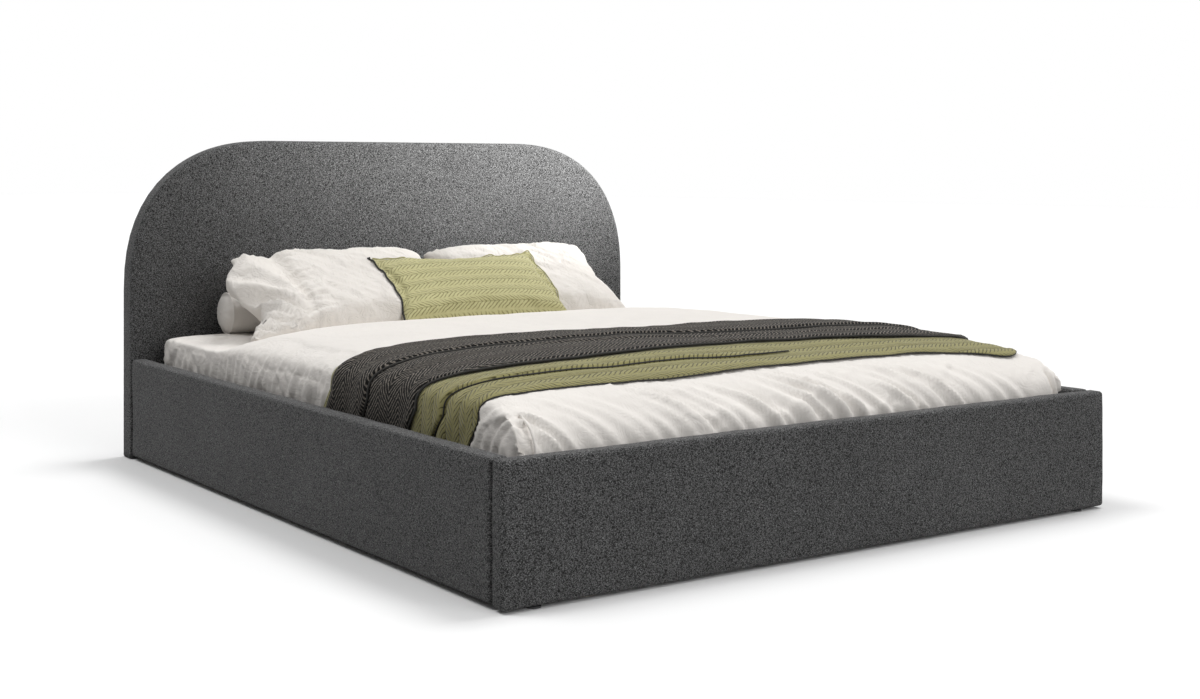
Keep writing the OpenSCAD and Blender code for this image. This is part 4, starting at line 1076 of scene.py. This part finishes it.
def pillow_creases(a, b, seed):
    """Creases drawn from the seams, and the long soft ones across the face; a and b run from -1 to 1."""
    out = np.maximum(np.abs(a), np.abs(b))
    rim, middle = smooth(0.62, 0.98, out), smooth(0.97, 0.5, out)
    long_side, short_side = ridged(a * 13, b * 2.2, seed), ridged(b * 10, a * 2.2, seed + 1)
    seam = np.where(np.abs(b) > np.abs(a), long_side, short_side) * rim
    slant = ridged(a * 5.5 + b * 4.2 + 0.5 * noise(a * 2, b * 2, 0, seed + 2), (b - a) * 1.1, seed + 3)
    fine = ridged(a * 15 + b * 9 + 0.5 * noise(a * 4, b * 4, 0, seed + 5), (b - a) * 2, seed + 6)
    return (0.0070 * (seam ** 1.5 - 0.3) * rim
            + (0.0085 * (slant ** 2 - 0.3) + 0.0048 * (fine ** 2 - 0.3)) * middle)


def gather_end(p, a, b, seed):
    """The open end of a case: drawn in, hanging to the bedding, with folds that fan from its lower corner."""
    s = smooth(-0.66, -1.0, a)
    h = np.clip((b + 1) / 2, 0, 1)
    x, y, z = p.T
    front = z > -0.02
    x += s * (-0.010 - 0.112 * bell(h, 0.60, 0.27) - 0.105 * smooth(0.36, 0.0, h))
    z *= 1 - 0.42 * s
    z -= 0.020 * bell(a, -0.71, 0.050) * front * (0.6 + 0.4 * h)
    fan = np.arctan2(b + 1.12, -(a + 0.66) * 1.5 + 0.02)
    folds = ridged(fan * 6.0, 0.3, seed + 9) ** 1.5 - 0.3
    fine = ridged(fan * 17.0, a * 2, seed + 10) ** 1.5 - 0.3
    tucks = ridged(b * 14, a * 1.5, seed + 11) ** 1.5 - 0.3
    z += (folds * 0.030 + fine * 0.014) * smooth(-0.66, -0.80, a) * np.where(front, 1, 0.4)
    z += tucks * 0.0100 * bell(a, -0.62, 0.13) * front
    y -= 0.020 * s * smooth(0.30, 0.0, h) + 0.022 * s * smooth(0.75, 1.0, h)


def lean_end(p, a, b):
    """The far end leans in toward its foot, with a square top corner."""
    x, y, _ = p.T
    x -= 0.040 * smooth(0.1, 1.0, a) * smooth(1.0, -0.7, b)
    y += 0.012 * smooth(0.78, 1.0, a) * smooth(0.6, 1.0, b)
    x += 0.008 * smooth(0.8, 1.0, a) * smooth(0.5, 1.0, b)


def bed_pillow(side, half_w, middle, seed):
    """A pillow in its case, leaning back on the bolster and the headboard."""
    half_l, reach = 0.214, 0.026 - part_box("left_pillow")[0].x
    ob = stuffed(side + "_pillow_case", half_w, half_l, 0.066, 0.082, 0.0125, 0.012, 3.6)[0]
    simulate(ob, 1.6, grow=0.06, cap=0.014, frames=18, stiff=10, bend=0.2)
    use(ob, "SUBSURF", levels=1, render_levels=1)
    p = coords(ob)
    a, b = p[:, 0] / half_w, p[:, 1] / half_l
    p = p + normals(ob) * pillow_creases(a, b, seed)[:, None]
    if side == "left":
        gather_end(p, a, b, seed)
    else:
        lean_end(p, a, b)
    p = tilted(p, PILLOW_TILT, (middle, BOARD_Y - 0.315, MATTRESS_HI.z + 0.131))
    p[:, 0] = np.clip(p[:, 0], -reach, reach)
    set_coords(ob, rested(p))
    stand_in(ob, side + "_pillow", CASE, "pillows")
    return ob


def lumbar_cushion(pillows):
    """A cushion that leans on the pillows: a dark cord down its left end as a painted shadow line on its
    shaded edge, piping round the rest.
    """
    half_w, half_l, gap, above = 0.292, 0.158, 0.0035, 0.2
    ob, edge, uv = stuffed("lumbar_cushion_cover", half_w, half_l, 0.044, 0.044, 0.0095, 0.020, 2.2)
    simulate(ob, 2.5, grow=0.02, cap=0.014, frames=18, stiff=14, bend=0.4)
    p = coords(ob)
    a, b = p[:, 0] / half_w, p[:, 1] / half_l
    crease = ridged(a * 6 - b * 3.5, b + a, 101) * smooth(-0.25, -0.85, a)
    crease = crease + 0.6 * ridged(a * 9 + b, b, 103) * smooth(-0.3, -0.9, b)
    fade = smooth(1.0, 0.7, np.maximum(np.abs(a), np.abs(b)))
    p = p + normals(ob) * (0.0075 * (crease - 0.25) * fade)[:, None]
    p = tilted(p, CUSHION_TILT, (0.022, BOARD_Y - 0.412, MATTRESS_HI.z + 0.138))
    out = Vector(tilted(np.array([[0.0, 0.0, 1.0]]), CUSHION_TILT, (0, 0, 0))[0])
    trees = [tree_of(pillow) for pillow in pillows]
    for k, start in enumerate(Vector(q) + out * above for q in p.copy()):
        for tree in trees:
            hit = tree.ray_cast(start, -out, above + gap)[0]
            if hit is not None and (hit + out * gap - Vector(p[k])).dot(out) > 0:
                p[k] = hit + out * gap
    set_coords(ob, bedding_clear(p))
    set_uv(ob.data, uv * (half_w, half_l) + (1.0, 1.031))
    rim = coords(ob)[edge]
    use(ob, "SUBSURF", levels=1, render_levels=1)
    stand_in(ob, "lumbar_cushion", OLIVE_CUSHION, "pillows")
    wave = 0.001 + 0.0016 * np.sin(np.arange(len(rim)) * 1.1)
    left = np.nonzero(uv[edge, 0] < -0.97)[0]
    first = int(left[np.argmax(np.diff(np.concatenate([left[-1:] - len(rim), left])))])
    path = np.roll(rim + np.array(out) * wave[:, None], -first, 0)
    # the dark cord down the left end is a painted shadow line on the cushion's shaded edge
    tube("lumbar_cushion_left_edge_shadow", path[:len(left)], 0.0027, DARK_THREAD_AND_SHADOW, "pillows")
    tube("lumbar_cushion_piping", path[len(left) - 1:], 0.0019, OLIVE_TRIM, "pillows")


def bolster():
    """A round bolster: soft skin, bulged ends gathered inside a ring of piping."""
    sides, bulge, cord = 72, 0.020, 0.0022
    r, end = BOLSTER_R - 0.0005, BOLSTER_HI.x - bulge
    right = [(end + bulge * math.sin(t), (r - 0.006) * math.cos(t) ** 0.75)
             for t in np.linspace(0.12, math.pi / 2 - 0.02, 10)[::-1]] + [(end, r - 0.0015)]
    body = [(x, r) for x in np.linspace(end - 0.004, 0.004 - end, 110)]
    profile = right + body + [(-x, q) for x, q in right[::-1]]
    t = circle(sides)
    y, z = np.cos(t), np.sin(t)
    verts = []
    for x, q in profile:
        puckers = 0.0022 * smooth(end - 0.07, end, abs(x)) * ridged(t * 5.5, x * 3, 111)
        sag = 0.0012 * (0.5 + 0.5 * fbm(y * 1.5, z * 1.5, x * 9, 113))
        gathers = 0.003 * (abs(x) > end) * ridged(y * 3.2, z * 3.2, 115)
        q = np.maximum(q - puckers - sag - gathers, 0.0005)
        verts.append(rows(x, BOLSTER_Y + q * y, BOLSTER_Z + q * z))
    ob = new_mesh("bolster_case", np.concatenate(verts), ring_faces(len(profile), sides))
    stand_in(ob, "bolster", BOLSTER_CLOTH, "pillows")
    for side, x in (("left", -end), ("right", end)):
        path = rows(x, BOLSTER_Y + (r - cord) * y, BOLSTER_Z + (r - cord) * z)
        tube("bolster_piping_" + side, path, cord, BOLSTER_CLOTH, "pillows", closed=True)


left_pillow = bed_pillow("left", 0.296, -0.315, 81)
right_pillow = bed_pillow("right", 0.286, 0.305, 91)
lumbar_cushion([left_pillow, right_pillow])
bolster()


# ---- floor and light
def seen_rays(tree):
    """1 for rays that show the floor or backdrop, as in a mirror or glass; 0 for the light it gives."""
    rays = add_node(tree, "LightPath").outputs
    total = rays["Is Camera Ray"]
    for other in ("Is Glossy Ray", "Is Transmission Ray"):
        total = add_node(tree, "Math", {0: total, 1: rays[other]}, operation="ADD", use_clamp=True).outputs[0]
    return total


def pale_floor():
    """A wide floor, seen nearly white, that throws back less light than it shows."""
    corners = [(-30, -30, 0), (30, -30, 0), (30, 60, 0), (-30, 60, 0)]
    floor = new_mesh("studio_floor", corners, [[0, 1, 2, 3]])
    m = Material("studio_floor", Roughness=0.75)
    shade = m.mix(m.noise(0.6, 3.0), grey(0.34), grey(0.36))
    colour = m.mix(seen_rays(m.tree), shade, grey(0.975))
    floor.data.materials.append(m.done(colour, (m.noise(180.0), 0.03, 0.0005)))


def sun(name, toward, power, spread):
    """A sun that shines from the direction toward, spread over an angle in degrees."""
    ob = linked(name, bpy.data.lights.new(name, "SUN"), energy=power, angle=math.radians(spread))
    ob.rotation_euler = Vector(toward).to_track_quat("Z", "Y").to_euler()


def headboard_lamp():
    """A soft spot from the right, on the far half of the headboard."""
    ob = linked("headboard_lamp", bpy.data.lights.new("headboard_lamp", "SPOT"), energy=1450,
                spot_size=math.radians(34), spot_blend=0.7, shadow_soft_size=0.28)
    ob.location = (2.6, -0.9, 1.3)
    aim = Vector((0.66, 1.0, 1.30)) - ob.location
    ob.rotation_euler = aim.to_track_quat("-Z", "Y").to_euler()


def backdrop():
    """A world that is seen white and lights the bed only a little."""
    world = bpy.data.worlds.new("studio")
    world.use_nodes = True
    tree = world.node_tree
    level = add_node(tree, "MapRange", {"Value": seen_rays(tree), "To Min": 0.15, "To Max": 1.0})
    sockets = tree.nodes["Background"].inputs
    plug(tree, sockets["Color"], (1, 1, 1, 1))
    plug(tree, sockets["Strength"], level.outputs[0])
    scene.world = world


pale_floor()
sun("window", (0.46, 0.06, 1.0), 1.16, 22)
sun("far_window", (-0.42, 0.30, 1.0), 1.00, 26)
sun("front_fill", (0.30, -1.0, 0.40), 1.0, 40)
sun("overhead", (0.0, 0.0, 1.0), 0.62, 110)
headboard_lamp()
backdrop()
